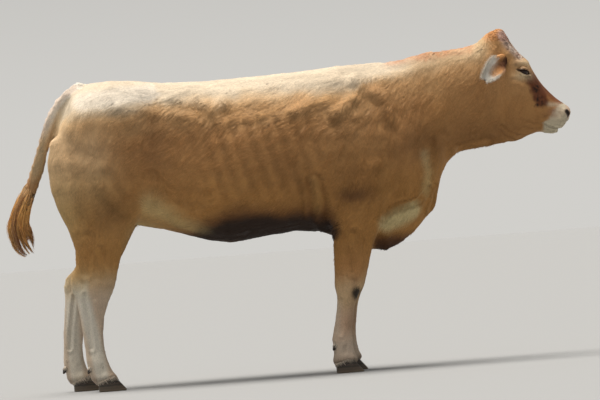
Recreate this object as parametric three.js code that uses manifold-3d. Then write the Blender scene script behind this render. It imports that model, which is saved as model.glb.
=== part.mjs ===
// A polled blonde beef cow, standing with her head raised and her tail hanging just clear of the rump.
// Millimetres. +X is ahead of the cow, +Y her left side, +Z up, and the floor under her hooves is Z = 0.
// The origin lies on the floor, midway between the switch of the tail and the muzzle.
// Every body of flesh is a loft: an oval ring carried over named stations. The lofts are joined with
// each other, then parted again by thin cuts into trunk, neck, head, tail, udder and four legs.
import * as THREE from "three";
import { mergeVertices } from "three/addons/utils/BufferGeometryUtils.js";
import Module from "manifold-3d";

const wasm = await Module();
wasm.setup();

// ---- Driving dimensions ----

const GAP = 0.3; // left between neighbouring pieces
const PIECE = 3000; // side of the blocks that part the body, larger than the cow
const LEFT = 1;
const RIGHT = -1;

const EYE = { x: 1077, z: 1280, y: 87, radius: 22 };
const CLAW = { length: 122, width: 52, toe: 64, heel: 40, gap: 6, sides: 12 };
const DEWCLAW = { length: 34, radius: 13, spread: 24, ahead: 6, drop: 18, lean: 0.6, sides: 6 };
const HIND_FOOT = { toe: -800, y: 160, swingTop: 600 };
const FORE_FOOT = { toe: 264, y: 152, swingTop: 600 };
const FAR_HIND_SWING = -125; // how far the left hind foot stands behind the right one
const FAR_FORE_SWING = 22; // how far the left fore foot stands ahead of the right one

// A station of a loft. a and b are two opposite ends of the oval in the side view, as x and z; half is
// half its width, y its offset from the middle plane, widest where between a and b it is widest, and
// roundA and roundB are superellipse powers: 2 is an ellipse, more is squarer, less is keener.
const station = (ax, az, bx, bz, half, y = 0, widest = 0.5, roundA = 2, roundB = 2) => [
  ax, az, bx, bz, half, y, widest, roundA, roundB,
];

// From the pin bones to the throat: a is the belly line, b the back line.
const TORSO = [
  station(-1070, 1010, -1010, 1290, 206, 0, 0.46, 2.3, 2.1), // pin bones
  station(-990, 845, -908, 1374, 258, 0, 0.5, 2.6, 2.2), // tail head
  station(-840, 765, -800, 1391, 284, 0, 0.54, 2.8, 2.4), // thurls
  station(-690, 722, -655, 1379, 290, 0, 0.54, 2.6, 2.7), // hook bones
  station(-560, 693, -510, 1361, 294, 0, 0.48, 2.3, 2.6), // flank
  station(-420, 645, -400, 1358, 322, 0, 0.45, 2.1, 2.3), // loin
  station(-290, 616, -285, 1359, 342, 0, 0.44, 2.1, 2.2), // belly
  station(-130, 634, -130, 1360, 348, 0, 0.45, 2.2, 2.1), // last ribs
  station(55, 648, 70, 1365, 334, 0, 0.47, 2.2, 1.95), // ribs
  station(190, 604, 225, 1378, 298, 0, 0.5, 2.0, 1.8), // girth
  station(320, 540, 375, 1384, 274, 0, 0.52, 1.8, 1.65), // withers
  station(432, 526, 505, 1381, 242, 0, 0.53, 1.7, 1.65), // brisket
  station(516, 578, 590, 1396, 208, 0, 0.53, 1.7, 1.65), // breast
  station(590, 655, 655, 1406, 177, 0, 0.52, 1.8, 1.65), // point of the shoulder
  station(648, 712, 710, 1409, 150, 0, 0.52, 1.8, 1.65), // dewlap
  station(667, 800, 755, 1411, 138, 0, 0.53, 1.8, 1.7), // base of the neck
  station(702, 886, 798, 1412, 126, 0, 0.53, 1.8, 1.7), // mid neck
  station(768, 944, 845, 1417, 116, 0, 0.52, 1.9, 1.8), // upper neck
  station(862, 953, 888, 1432, 108, 0, 0.52, 2.0, 1.9), // throat
  station(958, 966, 932, 1460, 95, 0, 0.52, 2.0, 2.0), // behind the jaw
  station(1012, 982, 985, 1474, 76, 0, 0.52, 2.0, 2.0), // within the head
];

// From the poll to the lips: a is the jaw line, b the forehead and nose.
const HEAD = [
  station(905, 1095, 944, 1476, 84, 0, 0.62, 2.0, 2.2), // nape
  station(922, 1035, 988, 1490, 92, 0, 0.62, 2.0, 2.3), // poll
  station(940, 1010, 1012, 1466, 99, 0, 0.63, 1.95, 2.5), // poll's front
  station(957, 988, 1029, 1432, 106, 0, 0.64, 1.9, 2.8), // brow
  station(1003, 975, 1067, 1373, 115, 0, 0.65, 1.9, 3.0), // forehead
  station(1044, 983, 1104, 1330, 110, 0, 0.64, 1.9, 2.9), // eyes
  station(1080, 994, 1136, 1268, 93, 0, 0.58, 2.0, 2.6), // below the eyes
  station(1110, 1002, 1167, 1216, 76, 0, 0.54, 2.1, 2.4), // cheeks' end
  station(1136, 1007, 1200, 1177, 68, 0, 0.5, 2.3, 2.3), // nose
  station(1160, 998, 1233, 1144, 69, 0, 0.48, 2.5, 2.3), // chin
  station(1190, 996, 1262, 1124, 75, 0, 0.5, 2.6, 2.4), // nostrils
  station(1218, 1007, 1279, 1107, 72, 0, 0.52, 2.5, 2.4), // upper lip
  station(1247, 1030, 1287, 1088, 58, 0, 0.52, 2.3, 2.4), // muzzle's end
];

// The right hind leg, from the hip to the coronet: a is its back edge, b its front edge.
const HIND_LEG = [
  station(-1034, 1190, -720, 1180, 60, 140), // hip
  station(-1076, 1095, -650, 1070, 112, 146, 0.5, 2.1, 2.1), // rump
  station(-1086, 990, -616, 940, 132, 152, 0.5, 2.2, 2.1), // thigh
  station(-1068, 872, -624, 828, 128, 160, 0.5, 2.3, 2.0), // stifle
  station(-1034, 782, -684, 752, 108, 168, 0.5, 2.2, 2.0), // second thigh
  station(-998, 690, -746, 668, 80, 172, 0.54, 2.1, 2.1), // calf
  station(-984, 606, -783, 582, 58, 171, 0.58, 1.9, 2.1), // gaskin
  station(-1004, 538, -801, 515, 46, 165, 0.6, 1.8, 2.1), // heel tendon
  station(-1022, 498, -815, 468, 46, 162, 0.6, 1.8, 2.1), // hock
  station(-1008, 442, -836, 424, 47, 161, 0.56, 1.9, 2.1), // below the hock
  station(-992, 385, -860, 376, 41, 160, 0.5, 2.1, 2.1), // head of the cannon
  station(-985, 300, -881, 300, 33, 160, 0.5, 2.2, 2.1), // cannon
  station(-978, 228, -886, 230, 31, 160, 0.5, 2.3, 2.1), // lower cannon
  station(-974, 166, -882, 174, 35, 160, 0.5, 2.3, 2.1), // above the fetlock
  station(-974, 118, -870, 126, 46, 160, 0.5, 2.3, 2.2), // fetlock
  station(-957, 78, -856, 88, 45, 160, 0.5, 2.2, 2.3), // pastern
  station(-944, 40, -842, 60, 50, 160, 0.5, 2.2, 2.4), // coronet
  station(-938, 20, -834, 42, 48, 160, 0.5, 2.2, 2.4), // within the hoof
];

// The right fore leg, from the upper arm to the coronet: a is its back edge, b its front edge.
const FORE_LEG = [
  station(240, 965, 466, 975, 60, 178), // upper arm
  station(186, 862, 470, 890, 90, 178, 0.5, 2.1, 2.0), // point of the arm
  station(163, 760, 442, 768, 86, 172, 0.5, 2.1, 2.0), // elbow
  station(163, 704, 412, 692, 76, 169, 0.5, 2.1, 2.0), // below the elbow
  station(166, 636, 378, 612, 65, 165, 0.52, 2.1, 2.1), // forearm
  station(168, 585, 350, 558, 56, 161, 0.53, 2.1, 2.1), // mid forearm
  station(163, 515, 329, 500, 49, 158, 0.54, 2.1, 2.1), // lower forearm
  station(161, 450, 309, 440, 45, 155, 0.54, 2.1, 2.2), // above the knee
  station(160, 402, 290, 398, 46, 154, 0.54, 2.1, 2.3), // knee
  station(166, 355, 270, 354, 46, 153, 0.54, 2.1, 2.4), // mid knee
  station(163, 315, 251, 315, 38, 152, 0.52, 2.1, 2.3), // below the knee
  station(156, 268, 240, 270, 32, 152, 0.5, 2.2, 2.2), // cannon
  station(144, 216, 231, 220, 31, 152, 0.5, 2.3, 2.1), // lower cannon
  station(133, 174, 224, 178, 36, 152, 0.5, 2.3, 2.1), // above the fetlock
  station(126, 136, 223, 140, 46, 152, 0.5, 2.3, 2.2), // fetlock
  station(135, 96, 228, 100, 44, 152, 0.5, 2.2, 2.3), // pastern
  station(128, 50, 234, 64, 50, 152, 0.5, 2.2, 2.4), // coronet
  station(130, 26, 240, 44, 48, 152, 0.5, 2.2, 2.4), // within the hoof
];

// The tail's middle line as [x, z, half thickness], from inside the tail head to inside the switch.
const TAIL = [
  [-840, 1352, 34],
  [-905, 1361, 31],
  [-958, 1339, 27],
  [-1000, 1304, 26],
  [-1036, 1252, 27],
  [-1062, 1198, 28],
  [-1084, 1140, 26],
  [-1108, 1076, 25],
  [-1132, 1012, 26],
  [-1155, 955, 26],
  [-1176, 905, 22],
];
const TAIL_FLATNESS = 0.82; // its width across against its thickness in the side view

// The switch of long hair as [x, z, half thickness], from the tail's end to the tips of the locks.
const SWITCH = [
  [-1168, 940, 29],
  [-1184, 905, 33],
  [-1203, 868, 37],
  [-1218, 830, 42],
  [-1228, 793, 47],
  [-1233, 755, 56],
  [-1224, 714, 56],
  [-1212, 675, 54],
  [-1193, 644, 30],
];
const SWITCH_FLATNESS = 0.72;

// The right ear as [along, half breadth, half thickness] from its root inside the head to its tip.
const EAR_RINGS = [
  [0, 26, 22],
  [28, 32, 22],
  [62, 44, 15],
  [100, 54, 11],
  [140, 50, 9],
  [178, 33, 7],
  [202, 13, 5],
];
const EAR_ROOT = new THREE.Vector3(1002, -72, 1352);
const EAR_TIP = new THREE.Vector3(908, -240, 1264);
const EAR_HOLLOW = 20; // how deep the cup of the ear is
const EAR_WIDEST = 54; // the half breadth that the cup's curve is drawn over
const EAR_CUP_STARTS = 20; // how far from the root the cup begins
const EAR_CUP_DEEPENS = 50; // the length over which it grows to its depth
const EAR_CUP_FACES = new THREE.Vector3(0.88, -0.35, -0.32); // the way its open side looks

const UDDER = { x: -800, z: 752, length: 150, width: 130, depth: 66, teat: 30, teatRadius: 11 };

// Muscle and bone that stand out of the lofts: [x, y, z] on the left side, reach along x, y and z, and
// how far the surface moves out (or in, when negative). Each is a soft round hill with its mirror image.
const TRUNK_FORMS = [
  [[-605, 225, 1300], [62, 60, 55], 20], // hook bone
  [[-985, 120, 1262], [55, 60, 60], 20], // pin bone
  [[-790, 150, 1382], [120, 90, 70], -8], // hollow between hook and pin
  [[-445, 275, 1205], [90, 80, 80], -20], // hollow of the flank
  [[-330, 120, 1350], [190, 70, 50], 8], // loin muscle
  [[-560, 270, 760], [70, 90, 70], 16], // fold of the flank
  [[405, 260, 1060], [120, 90, 210], 22], // shoulder blade
  [[345, 262, 860], [130, 80, 120], 24], // upper arm
  [[565, 170, 880], [70, 70, 85], 22], // point of the shoulder
  [[215, 280, 990], [48, 90, 210], -20], // hollow behind the shoulder
  [[395, 60, 1372], [120, 60, 45], 8], // top of the shoulder blades
  [[620, 140, 1230], [90, 60, 110], 14], // neck muscle
  [[640, 110, 940], [60, 60, 90], -10], // groove of the neck
  [[480, 60, 545], [70, 60, 40], 14], // brisket
];
const HEAD_FORMS = [
  [[1066, 108, 1322], [40, 40, 30], 15], // rim over the eye
  [[1096, 98, 1262], [40, 34, 22], 7], // rim under the eye
  [[1008, 84, 1362], [34, 34, 26], 10], // ear's root
  [[1030, 100, 1120], [62, 50, 72], 13], // cheek muscle
  [[1046, 96, 1385], [40, 24, 30], -7], // temple
  [[1128, 66, 1155], [34, 26, 40], -6], // hollow before the cheek
  [[1150, 60, 1196], [40, 24, 26], 5], // face crest
  [[1256, 60, 1092], [26, 22, 26], 8], // wing of the nostril
  [[1281, 38, 1078], [9, 14, 15], -11], // nostril
  [[1214, 66, 1040], [32, 30, 18], 6], // upper lip
  [[1175, 52, 1022], [26, 40, 8], -6], // corner of the mouth
];
const HIND_FORMS = [
  [[-690, 262, 880], [60, 60, 70], 14], // kneecap
  [[-900, 280, 960], [120, 60, 130], 12], // biceps of the thigh
  [[-1000, 250, 870], [38, 60, 120], -8], // groove between the thigh muscles
  [[-930, 205, 520], [30, 30, 60], -9], // hollow before the heel tendon
];
const FORE_FORMS = [
  [[305, 240, 800], [90, 50, 80], 12], // upper arm
  [[330, 220, 640], [36, 36, 60], 6], // forearm muscle
];

// ---- Making lofts ----

// Values that pass through every knot and never swing past one: cubic pieces with limited slopes.
function smoothThrough(knots, values) {
  const last = knots.length - 1;
  const rise = knots.slice(1).map((k, i) => (values[i + 1] - values[i]) / (k - knots[i]));
  const slopes = knots.map((_, i) => {
    if (i === 0) return rise[0];
    if (i === last) return rise[last - 1];
    return rise[i - 1] * rise[i] <= 0 ? 0 : (2 * rise[i - 1] * rise[i]) / (rise[i - 1] + rise[i]);
  });
  return (at) => {
    const i = Math.min(last - 1, Math.max(0, knots.findLastIndex((k) => k <= at)));
    const width = knots[i + 1] - knots[i];
    const t = (at - knots[i]) / width;
    const from = (1 + 2 * t) * (1 - t) ** 2 * values[i] + t * (1 - t) ** 2 * width * slopes[i];
    const to = t * t * (3 - 2 * t) * values[i + 1] - t * t * (1 - t) * width * slopes[i + 1];
    return from + to;
  };
}

// A closed surface over the stations. Its rings and their closed ends are those of a sphere, whose
// vertices are moved: a ring in a span between two stations, and CAP_RINGS rings for each rounded end.
const CAP_RINGS = 3;

function loft(stations, { sides, perSpan = 2, cap = 0.5, grow = 0, place = (p) => p }) {
  const last = stations.length - 1;
  const knots = stations.map((_, i) => i);
  const fields = stations[0].map((_, f) => smoothThrough(knots, stations.map((s) => s[f])));
  const along = [];
  for (let i = 0; i < CAP_RINGS; i++) {
    const turn = (i / CAP_RINGS) * (Math.PI / 2);
    along.push([cap * (1 - Math.cos(turn)), Math.sin(turn)]);
  }
  const middle = Math.round((last - 2 * cap) * perSpan);
  for (let i = 0; i <= middle; i++) along.push([cap + (i / middle) * (last - 2 * cap), 1]);
  for (let i = CAP_RINGS - 1; i >= 0; i--) along.push([last - along[i][0], along[i][1]]);

  const geometry = new THREE.SphereGeometry(1, sides, along.length - 1);
  const position = geometry.getAttribute("position");
  for (let i = 0; i < position.count; i++) {
    const [at, size] = along[Math.floor(i / (sides + 1))];
    const angle = ((i % (sides + 1)) % sides) * ((2 * Math.PI) / sides);
    const [ax, az, bx, bz, half, y, widest, roundA, roundB] = fields.map((f) => f(at));
    const up = Math.sin(angle);
    const power = 2 / (up > 0 ? roundB : roundA);
    const reach = up > 0 ? 1 - widest : widest;
    const length = Math.hypot(bx - ax, bz - az);
    const height = Math.sign(up) * Math.abs(up) ** power * (reach + grow / length) * size;
    const across = Math.cos(angle);
    const breadth = Math.sign(across) * Math.abs(across) ** power * (half + grow) * size;
    const share = widest + height;
    const p = place(new THREE.Vector3(ax + (bx - ax) * share, y + breadth, az + (bz - az) * share));
    position.setXYZ(i, p.x, p.y, p.z);
  }
  return closed(geometry);
}

// The geometry with its doubled vertices merged, so that it is one closed surface.
function closed(geometry) {
  geometry.deleteAttribute("normal");
  geometry.deleteAttribute("uv");
  return mergeVertices(geometry, 1e-3);
}

// Moves each vertex along its normal by the soft hills of the forms, on the sides that are asked for.
function shaped(geometry, forms, sides = [LEFT, RIGHT]) {
  geometry.computeVertexNormals();
  const position = geometry.getAttribute("position");
  const normal = geometry.getAttribute("normal");
  const p = new THREE.Vector3();
  const n = new THREE.Vector3();
  for (let i = 0; i < position.count; i++) {
    p.fromBufferAttribute(position, i);
    n.fromBufferAttribute(normal, i);
    let move = 0;
    for (const [[x, y, z], [rx, ry, rz], height] of forms)
      for (const side of sides)
        move += height * Math.exp(-(((p.x - x) / rx) ** 2 + ((p.y - side * y) / ry) ** 2 + ((p.z - z) / rz) ** 2));
    p.addScaledVector(n, move);
    position.setXYZ(i, p.x, p.y, p.z);
  }
  geometry.deleteAttribute("normal");
  return geometry;
}

// A closed geometry as a solid that can be cut and joined. A loft that came out inside out is turned.
function solid(geometry) {
  const triVerts = new Uint32Array(geometry.index.array);
  const vertProperties = new Float32Array(geometry.getAttribute("position").array);
  const made = new wasm.Manifold(new wasm.Mesh({ numProp: 3, vertProperties, triVerts }));
  if (made.volume() > 0) return made;
  const turned = triVerts.map((_, i) => triVerts[i - (i % 3) + 2 - (i % 3)]);
  return new wasm.Manifold(new wasm.Mesh({ numProp: 3, vertProperties, triVerts: turned }));
}

// The solid back as a geometry, keeping only its largest body.
function geometryOf(made) {
  const bodies = made.decompose().sort((a, b) => b.volume() - a.volume());
  const mesh = bodies[0].getMesh();
  return new THREE.BufferGeometry()
    .setAttribute("position", new THREE.BufferAttribute(new Float32Array(mesh.vertProperties), 3))
    .setIndex(new THREE.BufferAttribute(new Uint32Array(mesh.triVerts), 1));
}

// A huge block whose one face passes through the side-view point [x, z], with its body on the side
// that the angle in degrees points to: 0 is ahead, 90 is up.
function halfSpace([x, z], degrees, back = 0) {
  const angle = THREE.MathUtils.degToRad(degrees);
  const block = new THREE.BoxGeometry(PIECE, PIECE, PIECE);
  block.translate(PIECE / 2 + back, 0, 0).rotateY(-angle).translate(x, 0, z);
  return solid(closed(block));
}

// ---- Pieces ----

// Stations for a tube of round section along a middle line in the side view, each ring square to it.
function tubeStations(line, flatness) {
  return line.map(([x, z, radius], i) => {
    const [x0, z0] = line[Math.max(0, i - 1)];
    const [x1, z1] = line[Math.min(line.length - 1, i + 1)];
    const along = new THREE.Vector2(x1 - x0, z1 - z0).normalize().multiplyScalar(radius);
    return station(x - along.y, z + along.x, x + along.y, z - along.x, radius * flatness);
  });
}

// Puts a right leg's point on its side, and swings the foot ahead or back below the swing's height.
function legPlace(side, swing, top) {
  return (p) => {
    const shift = swing * Math.max(0, 1 - (p.z / top) ** 2);
    return new THREE.Vector3(p.x + shift, side * p.y, p.z);
  };
}

// One claw: a horn shoe with a flat sole, a sloping front wall and an upright heel, 4 rings from the
// sole to the coronet. Its toe points ahead from the given x.
function claw(toe, y, grow = 0) {
  const { length, width, toe: toeHeight, heel: heelHeight, sides } = CLAW;
  const rings = [
    [0, 0, 0],
    [0, 1, 0],
    [0.12, 1.02, 0.04],
    [0.6, 0.95, 0.26],
    [1, 0.84, 0.46],
    [1, 0, 0.46],
  ];
  const geometry = new THREE.SphereGeometry(1, sides, rings.length - 1);
  const position = geometry.getAttribute("position");
  for (let i = 0; i < position.count; i++) {
    const [rise, size, setback] = rings[Math.floor(i / (sides + 1))];
    const angle = ((i % (sides + 1)) % sides) * ((2 * Math.PI) / sides);
    const ahead = size === 0 ? 0.5 : (1 + Math.cos(angle)) / 2; // 1 at the toe, 0 at the heel
    const height = THREE.MathUtils.lerp(heelHeight, toeHeight, ahead);
    const middle = toe - length / 2 - setback * (toeHeight - heelHeight * 0.4);
    const keen = 0.5 + 0.5 * Math.min(1, 2.4 * (1 - ahead));
    const x = middle + Math.cos(angle) * (length / 2 + grow) * size * (1 - 0.2 * setback);
    const across = Math.sin(angle) * (width / 2 + grow) * size * keen ** 0.35;
    position.setXYZ(i, x, y + across, rise * height + (rise > 0 ? grow : -grow));
  }
  return closed(geometry);
}

function dewclaw(x, y, z) {
  const { length, radius, lean, sides } = DEWCLAW;
  const profile = [
    new THREE.Vector2(0, -length / 2),
    new THREE.Vector2(radius, -length / 2),
    new THREE.Vector2(radius * 0.9, 0),
    new THREE.Vector2(radius * 0.45, length / 2),
    new THREE.Vector2(0, length * 0.6),
  ];
  const geometry = new THREE.LatheGeometry(profile, sides);
  return closed(geometry.rotateX(-Math.PI / 2).rotateY(lean).translate(x, y, z));
}

// An ear: a leaf-shaped loft from the root to the tip, thick at its back and hollowed on its open side.
function ear(side) {
  const axis = EAR_TIP.clone().sub(EAR_ROOT).normalize();
  const facing = EAR_CUP_FACES.clone().addScaledVector(axis, -EAR_CUP_FACES.dot(axis)).normalize();
  const breadth = new THREE.Vector3().crossVectors(axis, facing);
  const stations = EAR_RINGS.map(([at, broad, thick]) => station(at, -broad, at, broad, thick));
  return loft(stations, {
    sides: 12,
    perSpan: 1.3,
    cap: 0.6,
    place: ({ x, y, z }) => {
      const reach = Math.min(1, Math.max(0, (x - EAR_CUP_STARTS) / EAR_CUP_DEEPENS));
      const cup = EAR_HOLLOW * reach * ((z / EAR_WIDEST) ** 2 - 0.5);
      const p = EAR_ROOT.clone()
        .addScaledVector(axis, x)
        .addScaledVector(breadth, z)
        .addScaledVector(facing, y + cup);
      return new THREE.Vector3(p.x, -side * p.y, p.z);
    },
  });
}

function ball(radius, x, y, z) {
  return closed(new THREE.SphereGeometry(radius, 12, 8).rotateX(Math.PI / 2).translate(x, y, z));
}

// The udder of a young cow: one low bag with four short teats joined to it.
function udder(grow = 0) {
  const { x, z, length, width, depth, teat, teatRadius } = UDDER;
  const bag = new THREE.SphereGeometry(1, 12, 7).rotateX(Math.PI / 2);
  bag.scale(length / 2 + grow, width / 2 + grow, depth + grow).translate(x, 0, z);
  let made = solid(closed(bag));
  for (const ahead of [LEFT, RIGHT])
    for (const side of [LEFT, RIGHT]) {
      const end = new THREE.SphereGeometry(1, 6, 5).rotateX(Math.PI / 2);
      end.scale(teatRadius + grow, teatRadius + grow, teat + grow);
      end.translate(x + ahead * length * 0.22, side * width * 0.24, z - depth * 0.88);
      made = made.add(solid(closed(end)));
    }
  return made;
}

// A leg with its claws and dewclaws: {whole, grown, claws, dewclaws}, all as solids.
function leg(stations, forms, foot, side, swing) {
  const place = legPlace(side, swing, foot.swingTop);
  const options = { sides: 14, perSpan: 1, cap: 0.5, place };
  const whole = solid(shaped(loft(stations, options), forms, [side]));
  const grown = solid(shaped(loft(stations, { ...options, grow: GAP }), forms, [side]));
  const parting = (CLAW.width + CLAW.gap) / 2;
  const toe = foot.toe + swing;
  const claws = {};
  const sockets = [];
  for (const [name, off] of [["inner", -parting], ["outer", parting]]) {
    claws[name] = solid(claw(toe, side * (foot.y + off)));
    sockets.push(solid(claw(toe, side * (foot.y + off), GAP)));
  }
  const dewclaws = {};
  const fetlock = stations.at(-4);
  for (const [name, off] of [["inner", -DEWCLAW.spread], ["outer", DEWCLAW.spread]]) {
    const at = place(new THREE.Vector3(fetlock[0] + DEWCLAW.ahead, foot.y + off, fetlock[1] - DEWCLAW.drop));
    dewclaws[name] = solid(dewclaw(at.x, at.y, at.z));
  }
  return { whole, grown, claws, sockets, dewclaws };
}

// ---- Joining and parting ----

const hide = new THREE.MeshStandardMaterial({ name: "hide", color: "#c9975f", roughness: 0.75 });
const paleHide = new THREE.MeshStandardMaterial({ name: "pale_hide", color: "#dcc3a0", roughness: 0.75 });
const tailHair = new THREE.MeshStandardMaterial({ name: "tail_hair", color: "#a5672f", roughness: 0.8 });
const horn = new THREE.MeshStandardMaterial({ name: "horn", color: "#3a332c", roughness: 0.45 });
const eyeGloss = new THREE.MeshStandardMaterial({ name: "eye", color: "#150f0b", roughness: 0.08 });
const bareSkin = new THREE.MeshStandardMaterial({ name: "bare_skin", color: "#d9ae96", roughness: 0.6 });

const torso = solid(shaped(loft(TORSO, { sides: 24, perSpan: 1.3, cap: 0.7 }), TRUNK_FORMS));
const headLoft = solid(shaped(loft(HEAD, { sides: 20, perSpan: 1.5, cap: 0.5 }), HEAD_FORMS));

const legs = {
  right_hind: leg(HIND_LEG, HIND_FORMS, HIND_FOOT, RIGHT, 0),
  left_hind: leg(HIND_LEG, HIND_FORMS, HIND_FOOT, LEFT, FAR_HIND_SWING),
  right_fore: leg(FORE_LEG, FORE_FORMS, FORE_FOOT, RIGHT, 0),
  left_fore: leg(FORE_LEG, FORE_FORMS, FORE_FOOT, LEFT, FAR_FORE_SWING),
};

// Where the body is parted: a point on each cut in the side view, and the way its far side lies.
const NECK_CUT = [[600, 1100], -12];
const HEAD_CUT = [[932, 1200], 8];
const HIND_CUT = [[-860, 850], 70];
const FORE_CUT = [[290, 700], 80];

const cow = new THREE.Group();

function place(name, made, material) {
  const mesh = new THREE.Mesh(geometryOf(made), material);
  mesh.name = name;
  cow.add(mesh);
}

const sides = { right: RIGHT, left: LEFT };
const tail = solid(loft(tubeStations(TAIL, TAIL_FLATNESS), { sides: 8, perSpan: 1.2, cap: 0.4 }));
const tailGrown = solid(
  loft(tubeStations(TAIL, TAIL_FLATNESS), { sides: 8, perSpan: 1.2, cap: 0.4, grow: GAP }),
);
const switchHair = solid(loft(tubeStations(SWITCH, SWITCH_FLATNESS), { sides: 10, perSpan: 1.4, cap: 0.8 }));

let body = torso.add(headLoft);
for (const each of Object.values(legs)) body = body.add(each.whole);
const udderSpace = udder(GAP);

const lower = {};
for (const [name, each] of Object.entries(legs)) {
  const [point, angle] = name.endsWith("hind") ? HIND_CUT : FORE_CUT;
  const below = halfSpace(point, angle + 180, GAP);
  lower[name] = each.whole.intersect(below).subtract(udderSpace);
  body = body.subtract(each.grown.intersect(halfSpace(point, angle + 180)));
  for (const socket of each.sockets) lower[name] = lower[name].subtract(socket);
}

const ahead = halfSpace(...NECK_CUT);
const farAhead = halfSpace(...HEAD_CUT);
const trunk = body.subtract(ahead);
const neck = body.intersect(halfSpace(...NECK_CUT, GAP)).subtract(farAhead);
let head = body.intersect(halfSpace(...HEAD_CUT, GAP));
for (const side of Object.values(sides)) {
  head = head.subtract(solid(ball(EYE.radius + GAP, EYE.x, side * EYE.y, EYE.z)));
  head = head.subtract(solid(ear(side)));
}

place("trunk", trunk.subtract(tailGrown).subtract(udderSpace), hide);
place("neck", neck, hide);
place("head", head, hide);
place("tail", tail, hide);
place("tail_switch", switchHair.subtract(tailGrown), tailHair);
place("udder", udder(), bareSkin);
for (const [name, made] of Object.entries(lower)) {
  place(`leg_${name}`, made, paleHide);
  for (const [which, each] of Object.entries(legs[name].claws)) place(`claw_${name}_${which}`, each, horn);
  for (const [which, each] of Object.entries(legs[name].dewclaws))
    place(`dewclaw_${name}_${which}`, each.subtract(legs[name].grown), horn);
}
for (const [name, side] of Object.entries(sides)) {
  place(`eye_${name}`, solid(ball(EYE.radius, EYE.x, side * EYE.y, EYE.z)), eyeGloss);
  place(`ear_${name}`, solid(ear(side)), paleHide);
}

export default cow;
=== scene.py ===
# A blonde beef cow, finished: one hide over all the flesh, a short coat laid along it, and the eyes,
# lids, ears, hooves, udder and tail hair as pieces of their own. Shapes are worked out in millimetres,
# with +X ahead of the cow, +Y her left side and +Z up, and become metres as each mesh is made.
import itertools
import math

import bpy
import numpy as np
from mathutils import Matrix


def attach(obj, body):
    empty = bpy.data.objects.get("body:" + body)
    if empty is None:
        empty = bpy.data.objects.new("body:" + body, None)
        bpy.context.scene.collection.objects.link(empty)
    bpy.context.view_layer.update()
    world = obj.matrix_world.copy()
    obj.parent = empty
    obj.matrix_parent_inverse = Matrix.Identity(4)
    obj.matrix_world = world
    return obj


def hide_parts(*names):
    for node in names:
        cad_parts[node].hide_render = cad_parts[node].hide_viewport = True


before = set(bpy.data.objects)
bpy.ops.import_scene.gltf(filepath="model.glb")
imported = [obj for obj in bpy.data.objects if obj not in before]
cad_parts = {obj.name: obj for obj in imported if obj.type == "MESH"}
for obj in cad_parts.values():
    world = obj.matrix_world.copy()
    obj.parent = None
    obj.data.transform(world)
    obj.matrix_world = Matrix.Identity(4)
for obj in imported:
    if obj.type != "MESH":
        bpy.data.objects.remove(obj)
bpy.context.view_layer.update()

MM = 0.001
LEFT = 1
RIGHT = -1
SIDES = {"right": RIGHT, "left": LEFT}
LEGS = ["leg_right_hind", "leg_left_hind", "leg_right_fore", "leg_left_fore"]
FLESH = ["trunk", "neck", "head", "tail"] + LEGS

# ---- Driving dimensions, in millimetres ----

VOXEL = 13.0  # grain of the hide's first shell
BODY_ROUNDS = 50  # of smoothing
QUARTER_ROUNDS = 60
RIB_PITCH = 68.0
RIB_HEIGHT = 1.6
COAT_DEPTH = 6.0  # how far the hide lies inside the flesh solids on the body
FLAT_COAT_DEPTH = 2.5  # and on the face, the feet and the tail
EYE_CENTRE = np.array([1077.0, 87.0, 1280.0])
EYE_RADIUS = 23.0
LID_THICKNESS = 2.5
EYE_LOOKS = np.array([0.24, 1.0, 0.10])  # the way the left eye faces
EYE_SLANT = -19.0  # degrees that the lids' line drops towards the nose
LID_HALF_LENGTH = 32.0
UPPER_LID_RISE = 8.0
LOWER_LID_DROP = 11.0
HIND_SWING = -125.0  # how far the left hind foot stands behind the right one
FORE_SWING = 22.0  # how far the left fore foot stands ahead of the right one
SWING_TOP = 600.0  # the height under which the left legs swing away

# Lines in the side view, as x and z, that folds, ridges and markings follow.
MOUTH = [(1152, 1044), (1170, 1030), (1192, 1019), (1222, 1014), (1250, 1018), (1272, 1027), (1300, 1037)]
JAW_FOLD = [(962, 1050), (997, 1015), (1036, 998), (1072, 992)]
CHEEK_FOLD = [(1150, 1036), (1116, 1037), (1081, 1052)]
ELBOW_LINES = [
    [(76, 868), (81, 782), (90, 723)],
    [(124, 880), (141, 800), (150, 754), (140, 706), (166, 650)],
]
DEWLAP_CREASES = [
    [(612, 800), (575, 762), (538, 742), (483, 733), (427, 715), (402, 685)],
    [(657, 800), (642, 756), (620, 699)],
]
BLADE_RIDGE = [(330, 1300), (362, 1280), (410, 1240), (446, 1187), (467, 1104)]
BLADE_SPINE = [(222, 1146), (250, 1172), (308, 1214)]
RIB_RIDGE = [(40, 1178), (90, 1198), (137, 1211), (195, 1205), (225, 1150)]
FLANK_RIDGE = [(-489, 1288), (-420, 1305), (-357, 1246), (-319, 1213), (-267, 1239)]
FLANK_FOLD = [(-648, 816), (-560, 772), (-480, 702), (-420, 664)]

# The nostril's slit on the left side, from its floor to its upper wing.
NOSTRIL = [(1266, 42, 1031), (1273, 45, 1044), (1275, 49, 1059), (1272, 54, 1074), (1264, 57, 1088)]

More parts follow.
